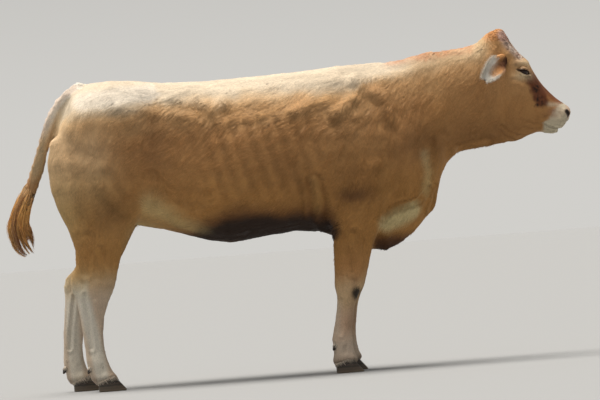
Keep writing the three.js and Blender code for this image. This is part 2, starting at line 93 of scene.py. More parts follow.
# The tail's middle line and the switch's, as x, z and half thickness.
TAIL = [
    (-905, 1361, 31),
    (-958, 1339, 27),
    (-1000, 1304, 26),
    (-1036, 1252, 27),
    (-1062, 1198, 28),
    (-1084, 1140, 26),
    (-1108, 1076, 25),
    (-1132, 1012, 26),
    (-1155, 955, 26),
    (-1176, 905, 22),
]
SWITCH = [
    (-1150, 972, 22),
    (-1168, 940, 28),
    (-1184, 905, 32),
    (-1203, 868, 36),
    (-1218, 830, 41),
    (-1228, 793, 46),
    (-1233, 755, 55),
    (-1224, 714, 55),
    (-1212, 675, 53),
    (-1193, 640, 30),
]
SWITCH_FLATNESS = 0.72
SWITCH_STRANDS = 40
SWITCH_LOCKS = 1100

# How far back the rump reaches, as height and x.
RUMP = [
    (700, -1066),
    (900, -1100),
    (1000, -1099),
    (1100, -1086),
    (1200, -1058),
    (1280, -1016),
    (1330, -970),
    (1370, -896),
]

# The right ear as distance along, half breadth and half thickness, from its root to its tip.
EAR_RINGS = [
    (0, 21, 17),
    (28, 27, 14),
    (62, 35, 9),
    (100, 39, 6),
    (140, 36, 4.5),
    (178, 25, 3.5),
    (202, 5, 2),
]
EAR_ROOT = np.array([1002.0, -72.0, 1352.0])
EAR_TIP = np.array([908.0, -236.0, 1270.0])
EAR_CUP_FACES = np.array([0.72, -0.42, 0.50])
EAR_HOLLOW = 24.0
EAR_WIDEST = 39.0
EAR_HAIRS = 2200

CLAW = {"length": 122, "width": 52, "toe": 64, "heel": 40, "gap": 6}
DEWCLAW = {"length": 34, "radius": 0.88 * 13, "ahead": 9, "spread": 24, "lean": 0.6}
FEET = {  # each foot's toe as x, its middle as y, its dewclaws' place as x and z
    "right_hind": (-800, RIGHT * 160, -968, 100),
    "left_hind": (-800 + HIND_SWING, LEFT * 160, -968 + HIND_SWING, 100),
    "right_fore": (264, RIGHT * 152, 132, 118),
    "left_fore": (264 + FORE_SWING, LEFT * 152, 132 + FORE_SWING, 118),
}
UDDER = {"x": -800, "z": 752, "length": 150, "width": 130, "depth": 66, "teat": 40.5, "teat_radius": 11}

# The hair on small places: how many grow on a square millimetre, and their sizes.
LID_COAT = {"density": 0.30, "length": 7.0, "breadth": 1.7, "seed": 95}
EAR_COAT = {"density": 0.12, "length": 13.0, "breadth": 2.8, "seed": 91}
POLL_CURLS = {
    "density": 0.030,
    "seed": 61,
    "fall": (0.80, 0, -0.42),
    "length": (20, 34),
    "radius": (1.5, 2.5),
    "rise": 5.0,
    "bend": 34,
}
FOREHEAD_CURLS = {
    "density": 0.034,
    "seed": 64,
    "fall": (0.62, 0, -0.70),
    "length": (16, 28),
    "radius": (1.2, 2.0),
    "rise": 3.5,
    "bend": 120,
}

# The light comes from above and a little behind, as broad as a studio's ceiling panel.
LIGHT_COMES_FROM = (-0.22, 0.05, 1.0)
LIGHT_BREADTH = 48  # degrees
LIGHT_STRENGTH = 4.2
LIGHT_COLOUR = "#FFF7EC"
ROOM_COLOUR = "#FAF8F3"
ROOM_AT_FLOOR = 0.665  # the room's brightness at the floor's far edge
ROOM_ABOVE = 0.28
ROOM_RISE = 0.16  # the sine of the height where it has sunk to the upper brightness
CAMERA_PLACE = (0.036, -24.0, 0.786)  # metres
CAMERA_ROLL = math.radians(4.5)
CAMERA_LENS = 320.0

# ---- Small tools for arrays of points ----


def unit(vectors):
    """Each vector divided by its own length."""
    return vectors / np.maximum(np.linalg.norm(vectors, axis=-1, keepdims=True), 1e-9)


def step(values, low, high):
    """A smooth rise from 0 at low to 1 at high: 3t^2 - 2t^3. With high under low it falls instead."""
    t = np.clip((values - low) / (high - low), 0, 1)
    return t * t * (3 - 2 * t)


def swung(z):
    """How much of a left leg's swing each height has: 1 at the ground, 0 at the swing's top."""
    return np.clip(1 - (z / SWING_TOP) ** 2, 0, 1)


def mirrored(points):
    """The points with both sides folded onto one and the swing of the left legs taken out, so that one
    rule serves both sides."""
    folded = np.array(points, float)
    low = swung(folded[:, 2]) * (folded[:, 1] > 0)
    folded[:, 0] -= low * np.where(folded[:, 0] < -300, HIND_SWING, FORE_SWING)
    folded[:, 1] = np.abs(folded[:, 1])
    return folded


def laid(way, normals, share=1.0):
    """A way laid along the surface: less its own part along the normal, or a share of that part."""
    return unit(way - share * normals * (way * normals).sum(axis=1, keepdims=True))


def hill(points, centre, reach):
    """A soft round hill: e to the minus squared distance, with each axis measured in its own reach."""
    return np.exp(-(((points - np.array(centre)) / np.array(reach)) ** 2).sum(1))


def path_distance(points, path):
    """The distance from each point to a bent line, and how far along it the nearest place lies, 0 to 1."""
    path = np.array(path, float)
    lengths = np.linalg.norm(np.diff(path, axis=0), axis=1)
    before = np.concatenate([[0], np.cumsum(lengths)])
    best = np.full(len(points), np.inf)
    share = np.zeros(len(points))
    for start, end, length, gone in zip(path[:-1], path[1:], lengths, before):
        t = np.clip((points - start) @ (end - start) / length**2, 0, 1)
        away = np.linalg.norm(points - start - t[:, None] * (end - start), axis=1)
        nearer = away < best
        best = np.where(nearer, away, best)
        share = np.where(nearer, (gone + t * length) / before[-1], share)
    return best, share


def side_line(points, path, width):
    """A soft band along a bent line in the side view: e to the minus squared distance over the width."""
    distance, _ = path_distance(points[:, [0, 2]], path)
    return np.exp(-((distance / width) ** 2))


def tail_share(q):
    """1 on the tail where it hangs free of the rump, and 0 elsewhere."""
    away, _ = path_distance(q[:, [0, 2]], [(x, z) for x, z, _ in TAIL])
    behind = step(q[:, 0] - np.interp(q[:, 2], *zip(*RUMP)), 12, -6)
    return step(away, 44, 34) * behind * step(q[:, 1], 46, 36)


RANDOM_TABLE = np.random.default_rng(11).uniform(-1, 1, 8192)


def noise(points, size, seed=0):
    """Smooth random values from -1 to 1: a random number at each corner of cubes of the given size,
    blended inside each cube by the smooth step along the three axes."""
    places = points / size + seed * 17.3
    cell = np.floor(places).astype(np.int64)
    blend = places - cell
    blend = blend * blend * (3 - 2 * blend)
    total = np.zeros(len(points))
    for corner in itertools.product((0, 1), repeat=3):
        c = cell + corner
        pick = (c[:, 0] * 73856093) ^ (c[:, 1] * 19349663) ^ (c[:, 2] * 83492791) ^ (seed * 7919)
        pick = (pick ^ (pick >> 13)) & 8191
        weight = np.prod(np.where(np.array(corner) == 1, blend, 1 - blend), axis=1)
        total += RANDOM_TABLE[pick] * weight
    return total


def normals_of(points, triangles):
    """The normal at each point: the sum of its triangles' normals, each weighed by its area."""
    a, b, c = (points[triangles[:, k]] for k in range(3))
    face = np.cross(b - a, c - a)
    total = np.zeros_like(points)
    for axis in range(3):
        weights = np.repeat(face[:, axis], 3)
        total[:, axis] = np.bincount(triangles.ravel(), weights=weights, minlength=len(points))
    return unit(total)


def edges_of(triangles):
    """Each edge of the triangles once, as a pair of corner numbers."""
    pairs = np.sort(triangles[:, [0, 1, 1, 2, 2, 0]].reshape(-1, 2), axis=1)
    return np.unique(pairs, axis=0)


def neighbour_mean(values, edges):
    """At each point the mean of the values at the other ends of its edges."""
    here = edges.ravel()
    there = edges[:, ::-1].ravel()
    degree = np.maximum(np.bincount(here, minlength=len(values)), 1)
    sums = [np.bincount(here, weights=values[there, k], minlength=len(values)) for k in range(3)]
    return np.stack(sums, axis=1) / degree[:, None]


def smoothed(points, edges, share, rounds):
    """Each round moves a point towards its neighbours' mean by its share, then a little more than that
    back, so that bumps go and the size stays."""
    for _ in range(rounds):
        for push in (0.5, -0.52):
            points = points + push * share[:, None] * (neighbour_mean(points, edges) - points)
    return points


def crumpled(points, triangles):
    """How crumpled the surface is at each point: 0 where the faces round it agree with its normal, 1 where
    one of them is turned away from it by 80 degrees or more."""
    a, b, c = (points[triangles[:, k]] for k in range(3))
    face = unit(np.cross(b - a, c - a))
    agree = (face[:, None] * normals_of(points, triangles)[triangles]).sum(axis=2)
    least = np.ones(len(points))
    np.minimum.at(least, triangles.ravel(), agree.ravel())
    return step(least, 0.6, 0.2)


def refined(points, triangles, chosen):
    """Each chosen triangle becomes four through the middles of its edges. A neighbour that shares one
    or two of those edges becomes two or three, so that no gap opens."""
    pairs = np.sort(triangles[:, [0, 1, 1, 2, 2, 0]].reshape(-1, 2), axis=1)
    edges, which = np.unique(pairs, axis=0, return_inverse=True)
    which = which.reshape(-1, 3)
    split = np.zeros(len(edges), bool)
    split[which[chosen]] = True
    middle = len(points) + np.cumsum(split) - 1
    points = np.concatenate([points, points[edges[split]].mean(axis=1)])
    cut = split[which]
    number = cut.sum(axis=1)
    lone = np.where(number == 1, cut.argmax(axis=1), (cut.argmin(axis=1) + 1) % 3)
    order = (lone[:, None] + np.arange(3)) % 3
    a, b, c = np.take_along_axis(triangles, order, axis=1).T
    ab, bc, ca = middle[np.take_along_axis(which, order, axis=1)].T
    parts = {
        0: [(a, b, c)],
        1: [(a, ab, c), (ab, b, c)],
        2: [(ab, b, bc), (a, ab, bc), (a, bc, c)],
        3: [(a, ab, ca), (ab, b, bc), (ca, bc, c), (ab, bc, ca)],
    }
    made = [np.stack(part, axis=1)[number == n] for n, group in parts.items() for part in group]
    return points, np.concatenate(made)


# ---- Meshes and materials ----


def linear(colour):
    """An sRGB hex colour as linear red, green and blue."""
    values = np.array([int(colour[i : i + 2], 16) for i in (1, 3, 5)]) / 255
    return np.where(values <= 0.04045, values / 12.92, ((values + 0.055) / 1.055) ** 2.4)


def new_mesh(name, points, faces, colours=None):
    """A mesh from points in millimetres and rows of corner numbers, all rows of one length. Its colours,
    one linear colour for each point, become the attribute coat that the materials read."""
    faces = np.asarray(faces, np.int32)
    mesh = bpy.data.meshes.new(name)
    mesh.vertices.add(len(points))
    mesh.vertices.foreach_set("co", (np.asarray(points, float) * MM).astype(np.float32).ravel())
    mesh.loops.add(faces.size)
    mesh.loops.foreach_set("vertex_index", faces.ravel())
    mesh.polygons.add(len(faces))
    mesh.polygons.foreach_set("loop_start", np.arange(len(faces), dtype=np.int32) * faces.shape[1])
    mesh.polygons.foreach_set("use_smooth", np.ones(len(faces), bool))
    mesh.update(calc_edges=True)
    if colours is not None:
        full = np.ones((len(points), 4), np.float32)
        full[:, :3] = colours
        layer = mesh.color_attributes.new("coat", "FLOAT_COLOR", "POINT")
        layer.data.foreach_set("color", full.ravel())
    return mesh


def mesh_arrays(mesh):
    """A mesh's points in millimetres and its triangles as rows of corner numbers."""
    points = np.empty(len(mesh.vertices) * 3, np.float32)
    mesh.vertices.foreach_get("co", points)
    mesh.calc_loop_triangles()
    corners = np.empty(len(mesh.loop_triangles) * 3, np.int32)
    mesh.loop_triangles.foreach_get("vertices", corners)
    return points.reshape(-1, 3).astype(float) / MM, corners.reshape(-1, 3)


def joined(parts):
    """Several surfaces, each as points and faces, as one: the faces count on from part to part."""
    before = np.cumsum([0] + [len(points) for points, _ in parts])
    faces = [faces + count for (_, faces), count in zip(parts, before)]
    return np.concatenate([points for points, _ in parts]), np.concatenate(faces)


def bring(name, mesh, material, stands_for=()):
    """Makes the object of a finished mesh, at the origin, riding on the cow."""
    piece = bpy.data.objects.new(name, mesh)
    bpy.context.scene.collection.objects.link(piece)
    mesh.materials.append(material)
    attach(piece, "root")
    if stands_for:
        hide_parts(*stands_for)
    return piece


def grid_faces(rows, columns, closed=True):
    """Four-cornered faces of a grid of points that is stored row by row. A closed grid's last column
    joins its first."""
    r = np.arange(rows - 1)[:, None] * columns
    c = np.arange(columns if closed else columns - 1)[None, :]
    after = (c + 1) % columns
    faces = np.stack([r + c, r + after, r + columns + after, r + columns + c])
    return faces.reshape(4, -1).T


def split_faces(faces):
    """Four-cornered faces as two triangles each."""
    return np.concatenate([faces[:, [0, 1, 2]], faces[:, [0, 2, 3]]])


def add_node(material, kind, settings=(), **inputs):
    """One shader node with its settings, its sockets set to values or linked from other sockets. Returns
    its outputs."""
    node = material.node_tree.nodes.new("ShaderNode" + kind)
    for key, value in dict(settings).items():
        setattr(node, key, value)
    for key, value in inputs.items():
        place = int(key[1:]) if key[0] == "i" and key[1:].isdigit() else key.replace("_", " ")
        if isinstance(value, bpy.types.NodeSocket):
            material.node_tree.links.new(value, node.inputs[place])
        else:
            node.inputs[place].default_value = value
    return node.outputs


def new_material(name, **values):
    """An empty material and its shader, with the values set on the shader's own sockets."""
    material = bpy.data.materials.new(name)
    material.use_nodes = True
    shader = material.node_tree.nodes["Principled BSDF"]
    for key, value in values.items():
        shader.inputs[key.replace("_", " ")].default_value = value
    return material, shader


def link(material, output, shader, socket):
    """Leads a node's output into one of the shader's sockets."""
    material.node_tree.links.new(output, shader.inputs[socket])


BLEND = {"data_type": "RGBA"}
PRODUCT = {"data_type": "RGBA", "blend_type": "MULTIPLY"}


def painted(name, grain, tones=(0.88, 1.08), bump=(), detail=3.0, rough_grain=0.5, **values):
    """A material in the painted colours, made lighter and darker between the two tones by noise of one
    grain size in millimetres. The bump is of the same noise, by its strength and its depth in millimetres.
    The other values go to the shader's own sockets."""
    material, shader = new_material(name, **values)
    colour = add_node(material, "Attribute", {"attribute_name": "coat"})["Color"]
    place = add_node(material, "TexCoord")["Object"]
    scale = 1 / (grain * MM)
    noisy = {"Vector": place, "Scale": scale, "Detail": detail, "Roughness": rough_grain}
    grains = add_node(material, "TexNoise", **noisy)["Fac"]
    low, high = tones
    range_of = {"From_Min": 0.3, "From_Max": 0.7, "To_Min": low, "To_Max": high}
    tone = add_node(material, "MapRange", Value=grains, **range_of)["Result"]
    shaded = add_node(material, "Mix", PRODUCT, i0=1.0, i6=colour, i7=tone)[2]
    link(material, shaded, shader, "Base Color")
    if bump:
        strength, depth = bump
        relief = add_node(material, "Bump", Height=grains, Strength=strength, Distance=depth * MM)
        link(material, relief["Normal"], shader, "Normal")
    return material


# ---- The coat's colours ----

FAWN = linear("#BE8C57")
HONEY = linear("#D2A774")
CREAM = linear("#E2CDA8")
BONE = linear("#DED5C6")
SNOW = linear("#FBF6EC")
RUSSET = linear("#7C4223")
AMBER = linear("#B8743E")
CHESTNUT = linear("#43200F")
UMBER = linear("#5A3317")
# Near-black brown, used only for painted shade under the belly and between the fore legs.
SHADE_BROWN = linear("#1E0D03")
SMOKE = linear("#221C12")
PINK = linear("#D8B3A0")
MAUVE = linear("#AD8A80")
BLACKISH = linear("#1A100B")


def blended(values, other, share):
    """Rows of values, such as colours, moved towards another by each row's own share."""
    return values + (other - values) * np.clip(share, 0, 1)[:, None]


def layered(values, layers):
    """Rows of values with one layer after another laid over them, each a value and its share."""
    for other, share in layers:
        values = blended(values, other, share)
    return values


def all_over(value, count):
    """One row of values, such as a colour, for each of so many points."""
    return np.repeat(value[None], count, axis=0)


def coat_colour(points):
    """The cow's markings, with painted light and shade among them, as one linear colour for each point: a
    fawn ground, then soft masks, each a hill, a band along a line or a smooth rise, one over the other. The
    lower body's shade then takes a painted yellow cast of light bounced up from the ground."""
    q = mirrored(points)
    x, _, z = q.T
    patchy = noise(points, 160, 1) * 0.6 + noise(points, 60, 2) * 0.4
    colour = all_over(FAWN, len(q))
    colour = body_markings(colour, points, q, patchy)
    colour = leg_markings(colour, points, q, patchy)
    tail = tail_share(q)
    behind = x - np.interp(z, [row[1] for row in TAIL[::-1]], [row[0] for row in TAIL[::-1]])
    layers = [
        (CREAM, 0.7 * tail),
        (SNOW, 0.85 * tail * step(z, 1130, 1240)),
        (AMBER, tail * (0.28 * step(behind, -4, -20) + 0.55 * step(z, 1040, 930))),
    ]
    colour = head_markings(layered(colour, layers), points, q, patchy)
    # Painted light: blue is taken out of the lower body, a yellow cast of light bounced up from the ground
    # into its shade.
    ground_bounce_tint = step(z, 1120 + 220 * step(x, 540, 700), 760) * step(z, 380, 620)
    return colour * (1 + 0.07 * patchy)[:, None] * (1 - ground_bounce_tint[:, None] * np.array([0.10, 0.14, 0.38]))


def body_markings(colour, points, q, patchy):
    """Paler along the back, whiter still on the rump and the top of the neck: partly the coat's own
    sun-bleached colour, partly painted light from above. Painted shade, dark under the belly and between
    the fore legs, with painted highlights on the shoulder and on the ridge between the elbow's folds, and
    painted shade in the folds. Pale in the groin, on the flank's fold and in two patches on the brisket."""
    x, y, z = q.T
    top = np.interp(x, [-1100, -800, -300, 200, 500, 900, 1000], [1200, 1210, 1216, 1208, 1265, 1330, 1400])
    saddle = side_line(q, [(-890, 1304), (-720, 1312), (-590, 1314)], 46)
    edge = np.interp(x, [-560, -430, -300, -100, 60, 200, 330], [640, 690, 735, 762, 742, 704, 672])
    under = step(x, -600, -500) * step(x, 232, 176) * step(z, 600, 640)
    fold = side_line(q, [(-640, 812), (-560, 770), (-480, 700), (-420, 665)], 46)
    band = side_line(q, [(612, 955), (622, 866), (602, 782)], 20)
    patch = side_line(q, [(420, 656), (480, 684), (540, 708)], 48) * step(y, 40, 90)
    low = step(z, 630, 575) * step(x, 330, 380) * step(x, 700, 640)
    crest = side_line(q, [(500, 1378), (600, 1396), (690, 1402), (790, 1406), (860, 1418)], 28)
    layers = [
        # Partly the coat's own sun-bleached colour, partly painted light from above: paler up to the back's
        # top line, whitest on the rump and the top of the neck.
        (HONEY, 0.8 * step(z + 60 * patchy - top, -150, 20) * step(x, 960, 900)),
        (CREAM, 0.75 * step(z + 35 * patchy - top, -10, 90) * step(x, 960, 900)),
        (BONE, 0.6 * step(z + 35 * patchy - top, 20, 90) * step(x, 960, 900) * step(x, 720, 480)),
        (linear("#F3EADC"), 0.75 * step(saddle, 0.2, 0.8)),
        (CREAM, 0.42 * hill(q, (-880, 250, 1010), (110, 300, 200))),
        (CREAM, 0.5 * step(x, -880, -1040) * step(z, 600, 800) * step(z, 1330, 1200)),
        (UMBER, 0.35 * hill(q, (-800, 250, 800), (110, 300, 100))),
        (UMBER, 0.30 * hill(q, (-590, 260, 1080), (70, 300, 150))),
        (UMBER, 0.15 * hill(q, (-20, 300, 930), (150, 300, 100))),
        # Painted shade: the belly's underside darkens to near black below its edge.
        (UMBER, 0.8 * under * step(z + 30 * patchy - edge, 70, -25)),
        (SHADE_BROWN, 0.92 * under * step(z + 20 * patchy - edge, 5, -50)),
        (UMBER, 0.30 * hill(q, (590, 150, 1000), (150, 200, 100))),
        (UMBER, 0.26 * hill(q, (300, 250, 860), (110, 200, 80))),
        (UMBER, 0.32 * hill(q, (840, 100, 1010), (190, 200, 80))),
        (CREAM, 0.6 * fold * step(y, 100, 200) * step(x, -700, -640)),
        (CREAM, 0.6 * hill(q, (-740, 60, 740), (190, 120, 120))),
        (UMBER, 0.7 * hill(q, (285, 240, 795), (80, 120, 38))),
        # Painted highlight on the shoulder.
        (HONEY, 0.4 * hill(q, (300, 250, 1140), (130, 300, 120))),
        (UMBER, 0.3 * hill(q, (60, 240, 850), (90, 120, 60))),
        # Painted shade in the elbow's folds, and a painted highlight on the ridge between them.
        *((UMBER, 0.22 * side_line(q, line, 14) * step(y, 120, 180)) for line in ELBOW_LINES),
        (HONEY, 0.3 * side_line(q, [(112, 880), (120, 800), (118, 740)], 16) * step(y, 120, 180)),
        (CREAM, 0.5 * band),
        (linear("#E6D8BA"), 0.85 * step(patch + 0.1 * patchy, 0.15, 0.95)),
        # Painted shade low on the brisket, by the fore legs.
        (UMBER, 0.9 * low),
        (SHADE_BROWN, 0.5 * step(z, 595, 545) * step(x, 330, 380) * step(x, 560, 480)),
        (linear("#B97348"), 0.75 * crest * step(y, 100, 40) * (0.8 + 0.5 * noise(points, 18, 3))),
    ]
    return layered(colour, layers)


def leg_markings(colour, points, q, patchy):
    """Pale shanks: greyish white on the hind ones, from the hock down, and pinkish cream on the fore ones,
    browner along the tendons, with a dark worn place on the front of the right knee."""
    x, y, z = q.T
    behind = np.interp(z, [0, 240, 460, 560, 700], [-900, -935, -975, -960, -930])
    hind = step(x, -560, -640)
    fore = step(x, -100, 0) * step(x, 560, 480)
    pale = hind * step(z + 45 * patchy + 0.35 * (x + 900), 640, 430)
    inner_thigh = step(x, -600, -680) * step(z, 820, 700)
    inner_leg = step(y, 130, 90) * np.maximum(inner_thigh, step(z, 620, 560) * step(x, 350, 320))
    knee = hill(q, (256, 165, 354), (25, 60, 32))
    mud = noise(points, 16, 14) + 0.6 * noise(points, 7, 15)
    layers = [
        (CREAM, 0.6 * pale),
        (linear("#E6E2D6"), 0.85 * hind * step(z + 40 * patchy, 560, 400)),
        (FAWN, 0.45 * hind * step(z, 560, 480) * step(x - behind, 20, 50)),
        (FAWN, 0.35 * hind * step(z, 470, 400) * step(x - behind, -14, -34)),
        (CREAM, 0.55 * fore * step(z + 40 * patchy, 500, 360)),
        (PINK, 0.45 * fore * step(z + 30 * patchy, 330, 230)),
        (BONE, 0.55 * fore * step(z + 20 * patchy, 220, 110)),
        (BONE, 0.4 * fore * step(z, 360, 300) * side_line(q, [(160, 400), (162, 300), (154, 190)], 22)),
        (UMBER, 0.25 * fore * side_line(q, [(256, 440), (236, 330), (218, 200)], 15) * step(z, 500, 420)),
        (CREAM, 0.4 * inner_leg),
        (SMOKE, np.where(points[:, 1] < 0, 0.95, 0.35) * step(knee, 0.15, 0.7)),
        (UMBER, 0.5 * step(mud, 0.85, 1.1) * step(z, 260, 120)),
        (UMBER, 0.4 * step(z + 20 * patchy, 85, 45)),
    ]
    return layered(colour, layers)


def head_markings(colour, points, q, patchy):
    """The face: a red-brown patch with dark flecks on the side of the nose, a pale ring round each eye,
    painted highlights on the brows and along the top of the nose, a poll striped with painted shadows
    between its curls, with a painted shadow under its knob and an amber border, a speckled pale forehead, a
    white muzzle with a dusky spot, and painted shade inside the nostrils and between the lips."""
    x, y, z = q.T
    ahead = step(x, 880, 940)
    bridge = side_line(q, [(1108, 1262), (1150, 1216), (1190, 1180), (1222, 1152), (1238, 1138)], 24)
    nose_side = side_line(q, [(1122, 1240), (1138, 1196), (1152, 1150)], 40) * step(y, 20, 44)
    nose_side = step(nose_side + 0.14 * noise(points, 18, 19), 0.28, 0.72)
    speckle = 0.7 + 0.8 * noise(points, 7, 4)
    flecks_below = hill(q, (1138, 66, 1146), (27, 60, 27))
    fleck = np.maximum(flecks_below, 0.75 * hill(q, (1130, 70, 1206), (17, 60, 26)))
    ring = hill(q, (1078, 100, 1266), (44, 60, 22))
    brow = side_line(q, [(1012, 1418), (1040, 1388), (1068, 1356)], 17)
    freckle = noise(points, 7, 13) + 0.6 * noise(points, 13, 16)
    poll = hill(q, (975, 20, 1462), (52, 75, 36))
    curl_shadows = 0.5 + 0.9 * noise(points * np.array([1.0, 2.2, 1.0]), 11, 5)
    knob = hill(q, (998, 30, 1450), (34, 70, 34))
    white_from = np.interp(z, [995, 1047, 1062, 1092, 1108, 1140], [1142, 1150, 1182, 1198, 1212, 1262])
    muzzle = step(x - white_from + 9 * patchy + 7 * noise(points, 16, 17), -9, 11)
    dusk = hill(q, (1202, 66, 1090), (36, 60, 24))
    nose_top_highlight = side_line(q, [(1184, 1128), (1226, 1121), (1258, 1108)], 11) * step(y, 8, 28)
    nostril, _ = path_distance(q, NOSTRIL)
    lips = side_line(q, MOUTH, 3.4) * step(x, 1145, 1200)
    layers = [
        (HONEY, 0.35 * ahead * step(z, 1120, 1260)),
        (UMBER, 0.22 * ahead * step(z, 1130, 1000) * step(x, 1180, 1120)),
        (AMBER, 0.8 * ahead * bridge),
        (RUSSET, 0.95 * ahead * np.maximum(nose_side, 0.75 * bridge)),
        (CHESTNUT, ahead * (0.25 * nose_side + 0.35 * bridge * (1 - nose_side))),
        (BLACKISH, 0.9 * ahead * step(speckle, 0.62, 0.92) * step(fleck, 0.1, 0.6)),
        (CREAM, 0.8 * ahead * ring),
        # Painted highlight on the brow's bulge above the eye, brightest along its top.
        (CREAM, 0.8 * ahead * hill(q, (1080, 60, 1322), (42, 60, 22))),
        (linear("#DDAE77"), 0.8 * ahead * hill(q, (1084, 50, 1352), (34, 60, 16))),
        (UMBER, 0.35 * ahead * side_line(q, [(1026, 1392), (1044, 1352), (1046, 1318)], 9)),
        (linear("#F7E6D8"), 0.95 * ahead * brow),
        (linear("#C08F76"), 0.7 * ahead * brow * step(freckle, 0.0, 0.5)),
        # Painted shadow under the poll's knob.
        (CHESTNUT, 0.7 * ahead * hill(q, (1010, 60, 1421), (15, 50, 13))),
        (linear("#D29458"), 0.9 * step(poll, 0.25, 0.6)),
        (linear("#E9C5B4"), ahead * step(knob, 0.3, 0.6)),
        # Painted shadows between the poll's curls, as dark stripes.
        (linear("#6E3A2C"), 0.75 * ahead * step(curl_shadows, 0.6, 1.0) * step(knob, 0.3, 0.7)),
        # The muzzle's own white, and a painted highlight along the top of the nose.
        (0.9 * BONE, 0.92 * np.maximum(muzzle, 0.6 * nose_top_highlight)),
        (linear("#A07660"), 0.7 * dusk * (0.8 + 0.5 * noise(points, 13, 18))),
        (UMBER, 0.35 * hill(q, (1166, 70, 1078), (14, 40, 10))),
        (PINK, 0.6 * step(x + 0.2 * (z - 1070), 1258, 1276)),
        (MAUVE, 0.6 * step(nostril, 20, 12)),
        # Painted shade inside the nostril.
        (BLACKISH, 0.97 * step(nostril, 15, 10)),
        # Painted shade in the crease between the lips.
        (BLACKISH, 0.5 * lips),
    ]
    return layered(colour, layers)


# ---- The hide ----

BODY_HILLS = [  # centre, reach along each axis, and how far the surface moves out
    ((255, 240, 1262), (42, 90, 36), -12),
    ((395, 200, 1278), (34, 80, 28), -7),
    ((470, 150, 668), (70, 90, 50), 7),
    ((-745, 240, 1262), (48, 90, 34), 10),
    ((-1050, 70, 1142), (26, 60, 22), -7),
    ((-905, 200, 1250), (50, 90, 40), 6),
    ((-610, 240, 1150), (64, 90, 76), -14),
    ((-560, 230, 900), (50, 90, 80), -10),
    ((-180, 300, 1000), (150, 120, 120), 6),
    ((300, 250, 920), (80, 90, 60), 10),
    ((400, 250, 1030), (60, 90, 90), 6),
    ((160, 220, 820), (34, 90, 70), -7),
    ((500, 180, 1120), (34, 90, 110), -8),
    ((-1000, 160, 500), (26, 40, 34), 5),
    ((-850, 195, 470), (36, 22, 36), 6),
    ((-850, 128, 470), (36, 22, 36), 6),
    ((-930, 190, 560), (20, 26, 60), -5),
    ((276, 175, 385), (24, 30, 34), 5),
    ((176, 152, 392), (22, 30, 30), 6),
    ((-925, 190, 130), (34, 22, 26), 4),
    ((178, 182, 146), (34, 22, 26), 4),
    ((975, 0, 1482), (40, 60, 16), -3),
    ((948, 0, 1452), (38, 60, 30), 14),
]
BODY_LINES = [  # line in the side view, width, move at its middle, and move of the banks beside it
    (BLADE_RIDGE, 28, 8, -2),
    (BLADE_SPINE, 24, 8, -2),
    (RIB_RIDGE, 30, 12, 0),
    (FLANK_RIDGE, 32, 12, 0),
    (FLANK_FOLD, 34, 9, -3),
    (ELBOW_LINES[0], 15, -5, 3),
    (ELBOW_LINES[1], 16, -8, 4),
    (DEWLAP_CREASES[0], 11, -10, 6),
    (DEWLAP_CREASES[1], 10, -7, 4),
    ([(-822, 957), (-782, 895), (-738, 824)], 30, -8, 3),
    ([(-985, 1120), (-1003, 1020), (-1003, 900), (-975, 780)], 34, -5, 2),
    ([(-700, 1230), (-730, 1120), (-790, 1010)], 40, 5, 0),
    ([(-915, 700), (-925, 610), (-945, 540)], 18, -8, 3),
    ([(-870, 640), (-850, 560), (-845, 500)], 15, -4, 2),
    ([(-955, 440), (-948, 340), (-942, 200)], 9, -6, 3),
    ([(-905, 400), (-895, 300), (-888, 200)], 12, 3, -1),
    ([(183, 330), (178, 250), (172, 180)], 9, -5, 2),
    ([(262, 620), (264, 520), (254, 450)], 16, -6, 3),
    ([(205, 640), (197, 540), (188, 460)], 18, 4, -1),
    ([(-900, 118), (-895, 90)], 9, -3, 1),
    ([(188, 118), (183, 92)], 9, -3, 1),
    ([(616, 955), (622, 872), (596, 808), (552, 752)], 32, 8, 0),
    ([(905, 990), (830, 975), (770, 960)], 16, -5, 3),
    ([(700, 1020), (690, 930), (672, 850)], 22, -5, 2),
]
HEAD_HILLS = [
    ((1070, 98, 1322), (36, 40, 16), 10),
    ((1106, 0, 1334), (34, 60, 34), 5),
    ((1008, 96, 1120), (46, 50, 80), 8),
    ((1018, 0, 985), (60, 70, 34), 7),
    ((1000, 92, 1352), (26, 30, 24), 8),
    ((1268, 0, 1056), (18, 34, 20), 8),
    ((1252, 0, 1030), (18, 44, 14), 6),
    ((1254, 62, 1096), (15, 22, 17), 6),
    ((1228, 62, 1046), (34, 40, 22), 6),
    ((1204, 36, 1001), (34, 44, 16), 5),
    ((1120, 82, 1190), (30, 30, 30), -4),
    ((1000, 100, 1262), (30, 40, 40), -5),
]
HEAD_LINES = [
    (MOUTH, 4.5, -4.5, 1.5),
    (JAW_FOLD, 7, -5, 2),
    (CHEEK_FOLD, 8, -3, 1),
    ([(990, 1280), (970, 1180), (968, 1100)], 30, -4, 1),
    ([(1075, 1215), (1120, 1170), (1160, 1128)], 12, 3, -1),
    ([(1030, 1250), (1070, 1238), (1105, 1225)], 9, -2, 1),
]


def cad_surface(names):
    """The triangles of some CAD nodes as points in millimetres and rows of corner numbers, with the points
    that lie in one place made one."""
    points, triangles = joined([mesh_arrays(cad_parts[name].data) for name in names])
    _, first, same = np.unique(np.round(points, 2), axis=0, return_index=True, return_inverse=True)
    return points[first], same.ravel()[triangles]


